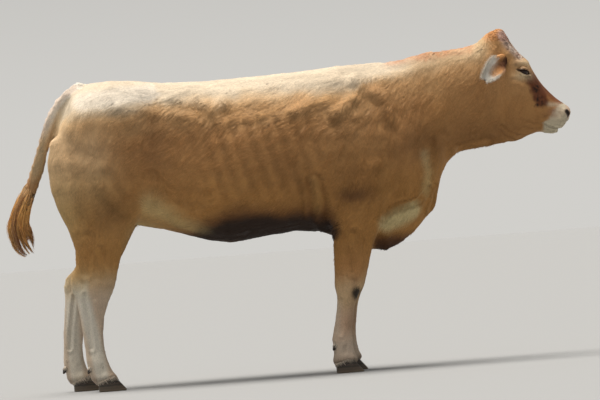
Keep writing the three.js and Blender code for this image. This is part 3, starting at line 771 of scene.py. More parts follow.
def voxel_shell(points, triangles, voxel):
    """One even closed shell round all the triangles: points, triangles and the edges of its squares."""
    mesh = new_mesh("shell", points, triangles)
    shell = bpy.data.objects.new("shell", mesh)
    bpy.context.scene.collection.objects.link(shell)
    remesh = shell.modifiers.new("voxels", "REMESH")
    remesh.mode = "VOXEL"
    remesh.voxel_size = voxel * MM
    made = bpy.data.meshes.new_from_object(shell.evaluated_get(bpy.context.evaluated_depsgraph_get()))
    points, triangles = mesh_arrays(made)
    edges = np.empty(len(made.edges) * 2, np.int32)
    made.edges.foreach_get("vertices", edges)
    bpy.data.objects.remove(shell)
    bpy.data.meshes.remove(mesh)
    bpy.data.meshes.remove(made)
    return points, triangles, edges.reshape(-1, 2)


def profile(distance, width, middle, banks):
    """A fold across its line: a soft hill of the middle's height, and two lower ones 1.7 widths out."""
    core = np.exp(-((distance / width) ** 2))
    sides = np.exp(-(((distance - 1.7 * width) / (0.8 * width)) ** 2))
    return middle * core + banks * sides


def eye_axes(side):
    """The eye's own axes: along the lids from the ear's side to the nose's, up across them, and out."""
    out = unit(EYE_LOOKS * np.array([1, side, 1]))
    slant = math.radians(EYE_SLANT)
    along = np.array([math.cos(slant), 0, math.sin(slant)])
    along = unit(along - out * (along @ out))
    up = np.cross(along, out) * side
    up = up if up[2] > 0 else -up
    return EYE_CENTRE * np.array([1, side, 1]), np.stack([along, up, out], axis=1)


def in_eye(points, side):
    """The points in the eye's own axes: along, up and out, from the eye's centre."""
    centre, axes = eye_axes(side)
    return (points - centre) @ axes


def smoothed_shell():
    """A voxel shell round the flesh, smoothed most on the trunk, the throat and the nape, and again on the
    quarters and at the tail's root, then drawn in by the coat's depth."""
    points, triangles, edges = voxel_shell(*cad_surface(FLESH), VOXEL)
    q = mirrored(points)
    x, y, z = q.T
    body = step(z, 560, 760) * step(x, 1010, 900) * (1 - tail_share(q))
    throat = 0.6 * step(x, 880, 920) * step(x, 1010, 970) * step(z, 1060, 1020)
    nape = step(x, 860, 900) * step(x, 960, 930)
    share = 0.08 + 0.92 * np.maximum(body, np.maximum(throat, nape))
    points = smoothed(points, edges, share, BODY_ROUNDS)
    quarter = body * step(x, -640, -760) * step(y, 40, 80)
    notch = step(hill(q, (-1050, 30, 1150), (46, 60, 64)), 0.3, 0.6)
    points = smoothed(points, edges, np.maximum(quarter, notch), QUARTER_ROUNDS)
    q = mirrored(points)
    thick_coat = step(q[:, 2], 400, 700) * step(q[:, 0], 1000, 900) * (1 - tail_share(q))
    depth = FLAT_COAT_DEPTH + (COAT_DEPTH - FLAT_COAT_DEPTH) * thick_coat
    return points - depth[:, None] * normals_of(points, triangles), triangles


def finer(points, triangles):
    """The shell with smaller triangles on the head, the legs and the fine folds, and smaller ones still
    round the eyes and on the muzzle, made even once more."""
    middle = mirrored(points[triangles].mean(axis=1))
    fine = (middle[:, 0] > 925) | (middle[:, 2] < 620)
    for line in ELBOW_LINES + DEWLAP_CREASES:
        distance, _ = path_distance(middle[:, [0, 2]], line)
        fine |= (distance < 34) & (middle[:, 1] > 40)
    points, triangles = refined(points, triangles, fine)
    middle = mirrored(points[triangles].mean(axis=1))
    near_eye = np.linalg.norm(middle - EYE_CENTRE, axis=1) < 62
    muzzle = middle[:, 0] - 0.35 * (middle[:, 2] - 1050) > 1178
    mouth, _ = path_distance(middle[:, [0, 2]], MOUTH)
    mouth_line = (mouth < 14) & (middle[:, 0] > 1130)
    points, triangles = refined(points, triangles, near_eye | muzzle | mouth_line)
    x, _, z = mirrored(points).T
    share = np.where((x > 920) | (z < 620), 1.0, 0.15)
    return smoothed(points, edges_of(triangles), share, 5), triangles


def modelled(points, triangles):
    """The surface moved along its normals by the hills and the lines, by the ribs as a sine across the
    barrel, by a ridge round each coronet, and by noise where the hide hangs loose."""
    q = mirrored(points)
    x, _, z = q.T
    normals = normals_of(points, triangles)
    aside = step(np.abs(normals[:, 1]), 0.15, 0.5)
    move = np.zeros(len(points))
    for centre, reach, height in BODY_HILLS + HEAD_HILLS:
        move += height * hill(q, centre, reach)
    for line, width, centre, banks in BODY_LINES:
        distance, _ = path_distance(q[:, [0, 2]], line)
        move += aside * profile(distance, width, centre, banks)
    for line, width, centre, banks in HEAD_LINES:
        distance, _ = path_distance(q[:, [0, 2]], line)
        mask = np.ones(len(points)) if line is MOUTH else aside
        move += mask * profile(distance, width, centre, banks) * step(x, 925, 950)
    ribs = step(x, -420, -300) * step(x, 200, 100) * step(z, 760, 900) * step(z, 1260, 1150)
    move += RIB_HEIGHT * ribs * aside * np.sin((x + 0.25 * (z - 1000)) * 2 * math.pi / RIB_PITCH)
    move += 6 * np.exp(-(((z - 62) / 18) ** 2))
    loose = step(z, 500, 700) * step(x, 1000, 900)
    move += loose * (1.0 * noise(points, 70, 6) + 0.7 * noise(points, 32, 7)) + 3 * tail_share(q)
    points = points + move[:, None] * normals
    edges = edges_of(triangles)
    for _ in range(3):
        rough = np.repeat(crumpled(points, triangles)[:, None], 3, axis=1)
        for _ in range(3):
            rough = np.maximum(rough, neighbour_mean(rough, edges))
        points = smoothed(points, edges, np.clip(3 * rough[:, 0], 0, 1) * step(x, 1150, 1120), 8)
    return points


def hide_surface():
    """The hide: the smoothed shell made finer and modelled, with the nostrils pushed in along their slits
    and a socket for each eye. Returns its points and triangles, and the surface before the eyes were let
    in."""
    points, triangles = finer(*smoothed_shell())
    points = modelled(points, triangles)
    inward = unit(np.array([-0.82, -0.32, -0.12]))
    distance, share = path_distance(mirrored(points), NOSTRIL)
    reach = 14.0 - 7.5 * share
    push = (20 - 13 * share) * step(distance, reach, reach * 0.45)
    one = np.ones(len(points))
    points = points + push[:, None] * inward * np.stack([one, np.sign(points[:, 1]), one], axis=1)
    closed = points.copy()
    for side in SIDES.values():
        along, up, out = in_eye(points, side).T
        ring = np.hypot(along / 33, (up + 1.5) / 13)
        socket = 26 * step(ring, 1.15, 0.85) * (out > -10)
        points = points - socket[:, None] * eye_axes(side)[1][:, 2]
    return points, triangles, closed


# ---- Eyes and lids ----


def lid_height(along, up, heights):
    """How far out the lids lie: the larger of a ball over the eye by their thickness and the hide round it,
    blended softly. The hide's height is the mean of the hide's points nearby, weighed by nearness."""
    round_eye = np.sqrt(np.maximum((EYE_RADIUS + LID_THICKNESS) ** 2 - along**2 - up**2, 0))
    gap = (heights[:, 0, None] - along) ** 2 + (heights[:, 1, None] - up) ** 2
    near = np.exp(-gap / (2 * 4.5**2)) + 1e-12
    skin = (near * heights[:, 2, None]).sum(axis=0) / near.sum(axis=0)
    soft = 3.0
    return soft * np.logaddexp(round_eye / soft, (skin + 0.6) / soft), skin


LID_COLUMNS = 49
LID_ROWS = [-0.12, -0.05, 0.0, 0.03, 0.07, 0.12, 0.18, 0.24, 0.30, 0.36, 0.44, 0.54, 0.66, 0.78, 0.90, 1.0]


def lid_grid(side, upper, closed_hide):
    """One lid: columns run from the ear's corner to the nose's along the slit, rows from inside the rim,
    over it and out to an edge that sinks into the hide. The slit is half a sine, fuller at the nose."""
    u = np.linspace(0, 1, LID_COLUMNS)[None, :]
    v = np.array(LID_ROWS)[:, None]
    spread = np.clip(v, 0, 1)
    rise = UPPER_LID_RISE if upper else -LOWER_LID_DROP
    slit = np.sin(math.pi * u**1.35) ** 0.85
    outer = (26 if upper else 27) * np.sin(math.pi * u) ** 0.6 * (1 if upper else -1)
    along = LID_HALF_LENGTH * (2 * u - 1) * (1 + 0.34 * spread)
    up = rise * slit * (1 - spread) + outer * spread
    local = in_eye(closed_hide, side)
    local = local[(np.hypot(local[:, 0], local[:, 1]) < 60) & (local[:, 2] > -10)]
    along, up = np.broadcast_arrays(along, up)
    height, skin = lid_height(along.ravel(), up.ravel(), local)
    height = height.reshape(along.shape)
    skin = skin.reshape(along.shape)
    crease = -1.6 * np.exp(-(((v - 0.30) / 0.07) ** 2)) + 0.9 * np.exp(-(((v - 0.42) / 0.09) ** 2))
    height = height + crease * np.sin(math.pi * u) * (1.0 if upper else 0.7)
    height = height + 1.0 * np.exp(-(((v - 0.03) / 0.05) ** 2))
    sunk = step(spread, 0.72, 1.0)
    height = height * (1 - sunk) + (skin - 3.5) * sunk
    height = height + np.where(v < 0, 32 * v, 0)
    centre, axes = eye_axes(side)
    points = centre + np.stack([along, up, height], axis=2).reshape(-1, 3) @ axes.T
    faces = grid_faces(len(LID_ROWS), LID_COLUMNS, closed=False)
    if upper == (side == LEFT):
        faces = faces[:, ::-1]
    return points, faces, np.broadcast_to(spread, along.shape).ravel()


def lid_colour(points, spread, upper):
    """A lid's colours: the face's own, painted shade over the upper lid under the brow and darker in its
    fold, or a pale ring a little way out on the lower lid, and a dark bare rim.
    """
    fold = np.exp(-(((spread - 0.30) / 0.05) ** 2)) * upper
    pale = (0.0 if upper else 0.25) * step(spread, 0.1, 0.25) * step(spread, 0.9, 0.5)
    brown = (0.6 if upper else 0.0) * step(spread, 0.1, 0.25) * step(spread, 0.95, 0.6)
    layers = [
        (CREAM, pale),
        # Painted shade on the upper lid, under the brow.
        (linear("#7E5F3C"), brown),
        # Painted shade in the upper lid's fold.
        (CHESTNUT, 0.5 * fold),
        (BLACKISH, 0.94 * step(spread, 0.20 if upper else 0.15, 0.08)),
    ]
    return layered(coat_colour(points), layers)


def eyelids(closed_hide):
    """Both eyes' lids. Returns the points, faces, colours, and each point's share of the way from the rim
    to the outer edge."""
    kinds = list(itertools.product(SIDES.values(), (True, False)))
    lids = [lid_grid(side, upper, closed_hide) for side, upper in kinds]
    colours = [lid_colour(lid[0], lid[2], kind[1]) for lid, kind in zip(lids, kinds)]
    points, faces = joined([lid[:2] for lid in lids])
    return points, faces, np.concatenate(colours), np.concatenate([lid[2] for lid in lids])


EYE_ROWS = 40
EYE_COLUMNS = 64


def eyeball(side):
    """An eye: a ball with rows from the pupil's middle to the back. The clear front stands out by a soft
    hill, the pupil is a level bar, the iris brown with a darker rim, and the rest a dull brownish white."""
    polar = np.concatenate([[1e-3], np.linspace(0.03, math.pi, EYE_ROWS - 1)])
    turn = np.arange(EYE_COLUMNS) * 2 * math.pi / EYE_COLUMNS
    ring = np.sin(polar)[:, None]
    out = (np.cos(polar)[:, None] + 0 * turn).ravel()
    along = (ring * np.cos(turn)).ravel()
    up = (ring * np.sin(turn)).ravel()
    bulge = 1 + 0.05 * np.exp(-((np.repeat(polar, EYE_COLUMNS) / 0.55) ** 2))
    centre, axes = eye_axes(side)
    points = centre + np.stack([along, up, out], axis=1) * (bulge * EYE_RADIUS)[:, None] @ axes.T
    across = np.arctan2(np.hypot(along, up), out)
    grain = np.stack([np.arctan2(up, along) * 6, across * 3, 0 * out], axis=1)
    layers = [
        (BLACKISH, step(np.hypot(along / 0.30, up / 0.15), 1.08, 0.92)),
        (linear("#120A06"), 0.8 * np.exp(-(((across - 0.80) / 0.09) ** 2))),
        (linear("#6E5F55"), step(across, 0.86, 1.02)),
    ]
    colour = layered(linear("#2B1509") * (1 + 0.25 * noise(grain, 0.8, 9))[:, None], layers)
    return new_mesh("eye", points, grid_faces(EYE_ROWS, EYE_COLUMNS)[:, ::side], colour)


# ---- Ears, hooves and udder ----


def through(table, at):
    """Values between the rows of a table, at row numbers that need not be whole: the cubic that passes
    through each row with the slope between its neighbours."""
    table = np.array(table, float)
    last = len(table) - 1
    at = np.clip(at, 0, last)
    i = np.minimum(np.floor(at).astype(int), last - 1)
    t = (at - i)[..., None]
    before, here, after, beyond = (table[np.clip(i + k, 0, last)] for k in (-1, 0, 1, 2))
    return 0.5 * (
        2 * here
        + (after - before) * t
        + (2 * before - 5 * here + 4 * after - beyond) * t**2
        + (3 * here - before - 3 * after + beyond) * t**3
    )


EAR_ROWS = 44
EAR_COLUMNS = 56


def ear_place(along, across, thick, side):
    """A point of the ear from its distance along, across the leaf and out of its cup, in millimetres. The
    cup is a parabola across the leaf, that grows in over the first 50 mm past the root."""
    axis = unit(EAR_TIP - EAR_ROOT)
    facing = unit(EAR_CUP_FACES - axis * (axis @ EAR_CUP_FACES))
    breadth = np.cross(axis, facing)
    reach = np.clip((along - 20) / 50, 0, 1)
    cup = EAR_HOLLOW * reach * ((across / EAR_WIDEST) ** 2 - 0.5)
    droop = -10 * np.clip((along - 110) / 90, 0, 1) ** 2
    points = (
        EAR_ROOT
        + along[..., None] * axis
        + across[..., None] * breadth
        + (thick + cup)[..., None] * facing
        + droop[..., None] * np.array([0, 0, 1.0])
    )
    return points * np.array([1, -side, 1])


def ear_grid(side):
    """An ear: an oval ring, wide across the leaf and thin through it, carried from the root to the tip,
    with a keen rim. Returns points, faces, how far along each point lies and its turn about the leaf."""
    at = np.linspace(0, len(EAR_RINGS) - 1, EAR_ROWS)
    rings = through(EAR_RINGS, at)
    turn = np.arange(EAR_COLUMNS) * 2 * math.pi / EAR_COLUMNS
    across = np.sign(np.sin(turn)) * np.abs(np.sin(turn)) ** 0.8 * rings[:, 1, None]
    thick = np.cos(turn) * rings[:, 2, None]
    along = np.broadcast_to(rings[:, 0, None], across.shape)
    fold = 5 * np.exp(-(((along - 60) / 40) ** 2)) * np.exp(-(((across - 24) / 9) ** 2)) * (thick > 0)
    points = ear_place(along, across, thick + fold, side).reshape(-1, 3)
    turns = np.broadcast_to(turn, across.shape)
    return points, grid_faces(EAR_ROWS, EAR_COLUMNS)[:, ::-side], along.ravel(), turns.ravel()


def ear_colour(points, along, turns):
    """The ear's colours: cream behind, amber inside, painted shade in the hollow and inside near the root,
    and white along the rear rim and at the tip."""
    inside = step(np.cos(turns), 0.0, 0.5)
    rear = step(np.sin(turns), -0.25, 0.45)
    hollow = inside * step(along, 110, 60) * step(np.sin(turns), 0.2, -0.3)
    layers = [
        (CREAM, np.full(len(points), 0.6)),
        (linear("#D89A5A"), 0.9 * inside),
        # Painted shade in the ear's hollow and inside it near the root.
        (RUSSET, 0.7 * hollow),
        (CHESTNUT, 0.85 * inside * step(along, 80, 35) * (1 - rear)),
        (SNOW, 0.95 * rear * step(along, 46, 84)),
        (SNOW, 0.95 * step(along, 140, 175)),
    ]
    return layered(all_over(HONEY, len(points)), layers) * (1 + 0.10 * noise(points, 14, 12))[:, None]


def claw_wall(toe, y, turn, up, size):
    """A place on a claw from its turn about it, its share of the way up and the outline's size there: an
    almond, keen at the toe, whose front wall leans back as it rises to the sloping coronet."""
    ahead = np.where(size == 0, 0.5, (1 + np.cos(turn)) / 2)
    height = CLAW["heel"] + (CLAW["toe"] - CLAW["heel"]) * ahead
    front = toe - 0.72 * CLAW["toe"] * up
    back = toe - CLAW["length"] - 0.2 * CLAW["heel"] * up
    keen = 0.5 + 0.5 * np.clip(2.4 * (1 - ahead), 0, 1)
    rings = 0.22 * np.sin(up * height * 2 * math.pi / 7) * (up > 0.05) * (up < 0.97)
    along = np.cos(turn) * ((front - back) / 2 * size + rings)
    across = np.sin(turn) * (CLAW["width"] / 2 * size + rings) * keen**0.35
    return np.stack(np.broadcast_arrays((front + back) / 2 + along, y + across, up * height), axis=-1)


def claw_surface(toe, y):
    """A claw: its wall from the sole to the coronet, closed by a flat sole and a flat top."""
    up = np.array([0.0, 0.0, 0.03, 0.10, 0.2, 0.3, 0.4, 0.5, 0.6, 0.7, 0.8, 0.88, 0.95, 1.0, 1.0])
    size = np.array([0.0, 0.9, 1.0, 1.02, 1.015, 1.0, 0.985, 0.97, 0.95, 0.93, 0.91, 0.89, 0.86, 0.78, 0.0])
    turn = np.arange(40) * 2 * math.pi / 40
    return claw_wall(toe, y, turn, up[:, None], size[:, None]).reshape(-1, 3), grid_faces(len(up), 40)


def dewclaw_place(x, y, z, turn, reach, size):
    """A place on a dewclaw from its turn about it, its share of the way down and its size there: a ring
    round a middle line that leans back."""
    radius = DEWCLAW["radius"] * size
    down = (reach - 0.5) * DEWCLAW["length"]
    side = radius * np.cos(turn)
    back = down * math.sin(DEWCLAW["lean"]) + side * math.cos(DEWCLAW["lean"])
    fall = down * math.cos(DEWCLAW["lean"]) - side * math.sin(DEWCLAW["lean"])
    place = (x + DEWCLAW["ahead"] - back, y + radius * np.sin(turn), z - fall)
    return np.stack(np.broadcast_arrays(*place), axis=-1)


def dewclaw_surface(x, y, z):
    """A dewclaw: a blunt cone with faint rings, pointing down and back, its end rounded off."""
    reach = np.linspace(0, 1, 14)
    ends = np.concatenate([[0], reach, [1]])
    dome = np.sqrt(1 - (1 - np.clip(reach / 0.4, 0.1, 1)) ** 2)
    size = dome * np.sqrt(1 - 0.93 * reach**2.6) * (1 - 0.22 * reach) + 0.012 * np.sin(reach * 22)
    size = np.concatenate([[0], size, [0]])
    turn = np.arange(20) * 2 * math.pi / 20
    points = dewclaw_place(x, y, z, turn, ends[:, None], size[:, None]).reshape(-1, 3)
    return points, grid_faces(len(ends), 20)


def foot_hair(claws, spurs):
    """The hair that hangs over a foot's horn: locks round each coronet, laid 7 to 26 mm down the claw's
    wall, and shorter ones over each dewclaw's root."""
    rng = np.random.default_rng(55)
    t = np.linspace(0, 1, 4)
    parts = []
    rows = [(claw_wall, where, 300, (1.0, 1.12), (-0.40, -0.18), 0.92) for where in claws]
    rows += [(dewclaw_place, where, 150, (-0.05, 0.2), (0.3, 0.55), 0.98) for where in spurs]
    for place, where, number, top, fall, size in rows:
        turn = rng.uniform(0, 2 * math.pi, (number, 1)) + 0.10 * rng.normal(size=(number, 1)) * t
        up = rng.uniform(*top, (number, 1)) + rng.uniform(*fall, (number, 1)) * t
        width = size + (0.05 + 0.05 * rng.random((number, 1))) * t
        thick = rng.uniform(0.9, 1.6, (number, 1)) * (1 - 0.85 * t**1.5)
        parts.append(locks(place(*where, turn, up, width), thick))
    points, faces = joined(parts)
    tone = np.repeat(rng.uniform(0.72, 1.08, len(points) // 12), 12)[:, None]
    colour = blended(all_over(BONE, len(points)), FAWN, 0.3 * rng.random(len(points))) * tone
    return new_mesh("foot_hair", points, faces, colour)


def udder_surface():
    """The udder: a low oval bag, and four teats that rise out of it as a soft hill each, drawn down along
    the bag's normal; its skin is creased a little between them."""
    rows, columns = 60, 96
    polar = np.linspace(0.001, math.pi - 0.001, rows)[:, None]
    turn = (np.arange(columns) * 2 * math.pi / columns)[None, :]
    shape = np.array([UDDER["length"] / 2, UDDER["width"] / 2, UDDER["depth"]])
    ring = np.sin(polar)
    ball = np.stack([ring * np.cos(turn), ring * np.sin(turn), -np.cos(polar) + 0 * turn], axis=2)
    points = (ball * shape).reshape(-1, 3)
    down = np.zeros(len(points))
    for ahead, side in itertools.product((LEFT, RIGHT), repeat=2):
        place = np.array([ahead * UDDER["length"] * 0.22, side * UDDER["width"] * 0.24])
        away = np.linalg.norm(points[:, :2] - place, axis=1)
        down += UDDER["teat"] * step(away, UDDER["teat_radius"] * 1.7, UDDER["teat_radius"] * 0.5)
    below = step(points[:, 2], 0, -20)
    points[:, 2] -= down * below
    points[:, 2] += np.exp(-((points[:, 1] / 6) ** 2)) * below * 4
    points += np.array([UDDER["x"], 0, UDDER["z"]])
    return points, grid_faces(rows, columns)


# ---- Hair ----


def locks(paths, radii, flatness=0.6):
    """Many locks of hair as one closed surface. Each is a three-cornered ring, flattened by the flatness,
    carried along its own path and drawn in to its own radius at each place, with closed ends.
    Paths are an array of locks by places by 3, and radii of locks by places."""
    count, places, _ = paths.shape
    tangent = unit(np.gradient(paths, axis=1))
    side = unit(np.cross(tangent, np.array([0.31, 0.17, 0.93])))
    over = np.cross(side, tangent)
    turn = np.arange(3) * 2 * math.pi / 3
    ring = side[:, :, None] * np.cos(turn)[:, None] + flatness * over[:, :, None] * np.sin(turn)[:, None]
    points = (paths[:, :, None] + ring * radii[:, :, None, None]).reshape(-1, 3)
    last = (places - 1) * 3
    ends = np.array([[0, 2, 1], [last, last + 1, last + 2]])
    one = np.concatenate([split_faces(grid_faces(places, 3)), ends])
    faces = (one[None] + (np.arange(count) * places * 3)[:, None, None]).reshape(-1, 3)
    return points, faces


def lay_of_hair(points):
    """The way the hair points at each place before it is laid on the hide: each region's own direction,
    weighed by a soft mask, and turned a little by noise as wide as a hand."""
    q = mirrored(points)
    x, _, z = q.T
    ahead = step(x, 900, 960)
    layers = [
        ((-0.95, 0, -0.25), step(z, 1290, 1360) * step(x, 700, 500)),
        ((-0.55, 0, -0.85), step(x, -640, -820) * step(z, 1330, 1250)),
        ((-0.15, 0, -1.0), step(x, -930, -1020)),
        ((-0.45, 0, -0.9), step(x, 120, 300) * step(z, 1290, 1150)),
        ((0.25, 0, 0.7), hill(q, (-600, 230, 880), (90, 200, 110))),
        ((-0.9, -0.3, 0.15), step(z, 740, 650) * step(x, -620, -450) * step(x, 300, 150)),
        ((-0.7, 0, -0.75), step(x, 520, 640)),
        ((-0.35, 0, -1.0), step(x, 560, 640) * step(z, 1000, 900)),
        ((-0.08, 0, -1.0), step(z, 720, 560)),
        ((-0.38, 0, -0.93), tail_share(q)),
        ((-0.45, 0.1, -0.85), ahead),
        ((0.66, 0.15, -0.75), ahead * step(x + 0.89 * z, 2110, 2160)),
        ((0.3, 0.2, -0.5), ahead * step(z, 1400, 1450)),
    ]
    way = unit(layered(all_over(np.array([-0.80, 0, -0.62]), len(q)), layers))
    swirl = 0.30 + 0.35 * woolly(q)
    way[:, 0] += swirl * noise(points, 85, 21)
    way[:, 1] += 0.5 * swirl * noise(points, 85, 22)
    way[:, 2] += swirl * noise(points, 85, 23)
    way[:, 1] *= np.sign(points[:, 1])
    return unit(way)


def woolly(q):
    """How rough the coat is: 1 along the loin, ribs and shoulder where it stands in tufts, 0 on the thigh,
    the face and the feet."""
    x, _, z = q.T
    band = step(z, 1030, 1180) * step(x, -900, -600) * step(x, 620, 380)
    crest = step(z, 1330, 1400) * step(x, 420, 520) * step(x, 960, 900)
    return np.clip(0.25 * step(z, 500, 700) * step(x, 1000, 900) + 0.75 * band + 0.5 * crest, 0, 1)


def streaks(points, way, size, seed):
    """Noise drawn out along the hair: the mean of the noise at five places, a size apart along the way."""
    return sum(noise(points + way * (k * size), size, seed) for k in (-2, -1, 0, 1, 2)) / 2.6


def sown(points, triangles, density, seed):
    """Places for tufts, strewn over the triangles at so many for each square millimetre: the number on a
    triangle is its area times the density, with the part left over settled by chance. Returns the corners
    of each place's triangle and the corners' weights."""
    rng = np.random.default_rng(seed)
    a, b, c = (points[triangles[:, k]] for k in range(3))
    area = 0.5 * np.linalg.norm(np.cross(b - a, c - a), axis=1)
    wanted = area * density
    number = np.floor(wanted + rng.random(len(wanted))).astype(int)
    chosen = np.repeat(np.arange(len(triangles)), number)
    u, v = rng.random((2, len(chosen)))
    over = u + v > 1
    u = np.where(over, 1 - u, u)
    v = np.where(over, 1 - v, v)
    return triangles[chosen], np.stack([1 - u - v, u, v], axis=1)


def between_corners(values, corners, weights):
    """The corners' values blended by their weights."""
    return (values[corners] * weights[:, :, None]).sum(axis=1)


TUFT_FACES = np.array([[0, 1, 2], [0, 2, 3], [2, 1, 3], [1, 0, 3]])
TUFT_PATCH = np.array([[-1, -1], [1, -1], [0, 0.1], [0, 1.0]]) * 0.0015  # its corners on the bake's map
TUFT_TONES = np.array([0.82, 0.82, 1.0, 1.08])  # a tuft is darker at its root's corners than at its tip


def tufts(roots, normals, way, length, breadth, lift, relief):
    """Many tufts as one surface. Each is a flat spike with a keel: two corners across its root just inside
    the hide, a keel raised by the lift at two fifths of its length, and a tip that lies lower, and in the
    hide itself on the back's top, where a raised one would show as a fringe against the background. Its
    shading normals are the hide's, leant out at the two corners and by the slope of the coat's relief.
    Returns points and shading normals."""
    way = laid(way, normals)
    side = np.cross(way, normals)
    half = (breadth / 2)[:, None] * side
    base = roots - normals * 1.0
    keel = roots + way * (0.42 * length)[:, None] + normals * lift[:, None]
    rise = 0.5 * lift * (1 - step(normals[:, 2], 0.45, 0.8)) - 0.4
    tip = roots + way * length[:, None] + normals * rise[:, None]
    points = np.stack([base - half, base + half, keel, tip], axis=1).reshape(-1, 3)
    along, across = relief
    slope = normals - way * along[:, None] - side * across[:, None]
    lean = 0.38 * side
    shade = np.stack([slope - lean, slope + lean, slope, slope + 0.12 * way], axis=1).reshape(-1, 3)
    return points, unit(shade)


def tuft_mesh(name, points, shade, own, places):
    """The mesh of some tufts, each in its own colour, with their shading normals and the bake's map, on
    which each tuft is a patch 0.003 across at its root's place on the unwrapped hide."""
    faces = (TUFT_FACES[None] + (np.arange(len(own)) * 4)[:, None, None]).reshape(-1, 3)
    colours = (own[:, None] * TUFT_TONES[None, :, None]).reshape(-1, 3)
    mesh = new_mesh(name, points, faces, colours)
    normal = mesh.attributes.new("custom_normal", "FLOAT_VECTOR", "POINT")
    normal.data.foreach_set("vector", shade.astype(np.float32).ravel())
    corner = (places[:, None] + TUFT_PATCH[None]).reshape(-1, 2)
    bake = mesh.uv_layers.new(name="OFBake")
    bake.data.foreach_set("uv", corner[faces.ravel()].astype(np.float32).ravel())
    return mesh


def coat_measures(q):
    """The coat at each place, from the body's to the feet's and the face's: its tufts' length, breadth and
    lift in millimetres, and how many stand on a square millimetre."""
    x, y, z = q.T
    head = step(x, 900, 990)
    low = step(z, 640, 380)
    feet = step(z, 200, 90)
    tail = tail_share(q)
    fluff = woolly(q)
    crest = step(z, 1350, 1405) * step(x, 480, 560) * step(x, 980, 900) * step(y, 70, 20)
    belly = step(z, 760, 660) * step(x, -640, -500) * step(x, 330, 180)
    length = 25 + 8 * fluff + 12 * crest + 10 * belly
    length = length + (13 - length) * low
    length = length + (9 - length) * feet
    length = length + (10 + 5 * step(x - 0.3 * z, 640, 590) - length) * head
    length = length + (24 - length) * tail
    breadth = 3.4 - 0.9 * low - 1.2 * head - 0.5 * tail
    lift = 1.5 + 1.6 * fluff + 2.0 * crest + 1.0 * belly
    lift = lift + (0.9 - lift) * np.maximum(low, head)
    density = 0.050 + 0.040 * low + 0.065 * head + 0.05 * tail + 0.02 * crest
    return length, breadth, lift, density


def bare(points):
    """Where no tuft grows: in the eyes' openings, in the nostrils, on the nose's bare pad and between the
    lips, and inside the hooves."""
    q = mirrored(points)
    skin = np.zeros(len(points), bool)
    for side in SIDES.values():
        along, up, out = in_eye(points, side).T
        skin |= (np.hypot(along / 33, up / 19) < 1) & (out > -12)
    nostril, _ = path_distance(q, NOSTRIL)
    skin |= nostril < 18
    skin |= (q[:, 0] + 0.25 * (q[:, 2] - 1070) > 1262) & (q[:, 2] > 1036)
    lips, _ = path_distance(q[:, [0, 2]], MOUTH)
    skin |= (lips < 5) & (q[:, 0] > 1140)
    return skin | (q[:, 2] < 44)


REGIONS = {  # each of the coat's pieces takes the tufts that pass its test and that none before it took
    "coat_head": lambda q, right: q[:, 0] > 930,
    "coat_neck": lambda q, right: (q[:, 0] > 560) & (q[:, 0] <= 930),
    "coat_tail": lambda q, right: tail_share(q) > 0.5,
    "coat_hind_legs": lambda q, right: (q[:, 2] < 640) & (q[:, 0] < -300),
    "coat_fore_legs": lambda q, right: (q[:, 2] < 560) & (q[:, 0] > -100) & (q[:, 0] < 420),
    "coat_right_quarter": lambda q, right: right & (q[:, 0] < -560),
    "coat_left_quarter": lambda q, right: ~right & (q[:, 0] < -560),
    "coat_right_barrel": lambda q, right: right & (q[:, 0] < 60),
    "coat_left_barrel": lambda q, right: ~right & (q[:, 0] < 60),
    "coat_right_shoulder": lambda q, right: right,
    "coat_left_shoulder": lambda q, right: ~right,
}


COAT_SPANS = {  # where each of these pieces begins and ends along the cow
    "head": (920, 1290),
    "neck": (550, 940),
    "shoulder": (50, 570),
    "barrel": (-570, 70),
    "quarter": (-1100, -550),
}


def unrolled(name, points):
    """Places on the bake's map, from 0 to 1: the region unrolled as a tube. One way is the distance along
    the region's own axis, the other the angle round it. The two legs of a pair lie side by side, and the
    trunk's pieces take half a turn each."""
    x, y, z = points.T
    if "legs" in name:
        hind = "hind" in name
        line = [-890, -925, -915, -860] if hind else [184, 190, 234, 290]
        swing = swung(z) * (HIND_SWING if hind else FORE_SWING)
        axis_x = np.interp(z, [0, 200, 480, 700], line) + np.where(y > 0, swing, 0)
        turn = np.arctan2(x - axis_x, np.abs(y) - 158) / (2 * math.pi) + 0.5
        u = turn * 0.48 + np.where(y > 0, 0.51, 0.01)
        v = z / 660
    elif name == "coat_tail":
        line = [row[:2] for row in TAIL]
        _, v = path_distance(points[:, [0, 2]], line)
        offset = (points[:, [0, 2]] - through(line, v * (len(TAIL) - 1))) @ np.array([0.9, 0.4])
        u = np.arctan2(y, offset) / (2 * math.pi) + 0.5
    else:
        whole = name in ("coat_head", "coat_neck")
        low, high = COAT_SPANS[name.split("_")[-1]]
        middle = (1200 if whole else 1000) - np.where(x > 1000, 0.45 * (x - 1000), 0)
        turn = np.arctan2(y, z - middle) / (2 * math.pi)
        u = turn + 0.5 if whole else np.abs(turn) * 2
        v = (x - low) / (high - low)
    return 0.01 + 0.98 * np.clip(np.stack([u, v], axis=1), 0, 1)


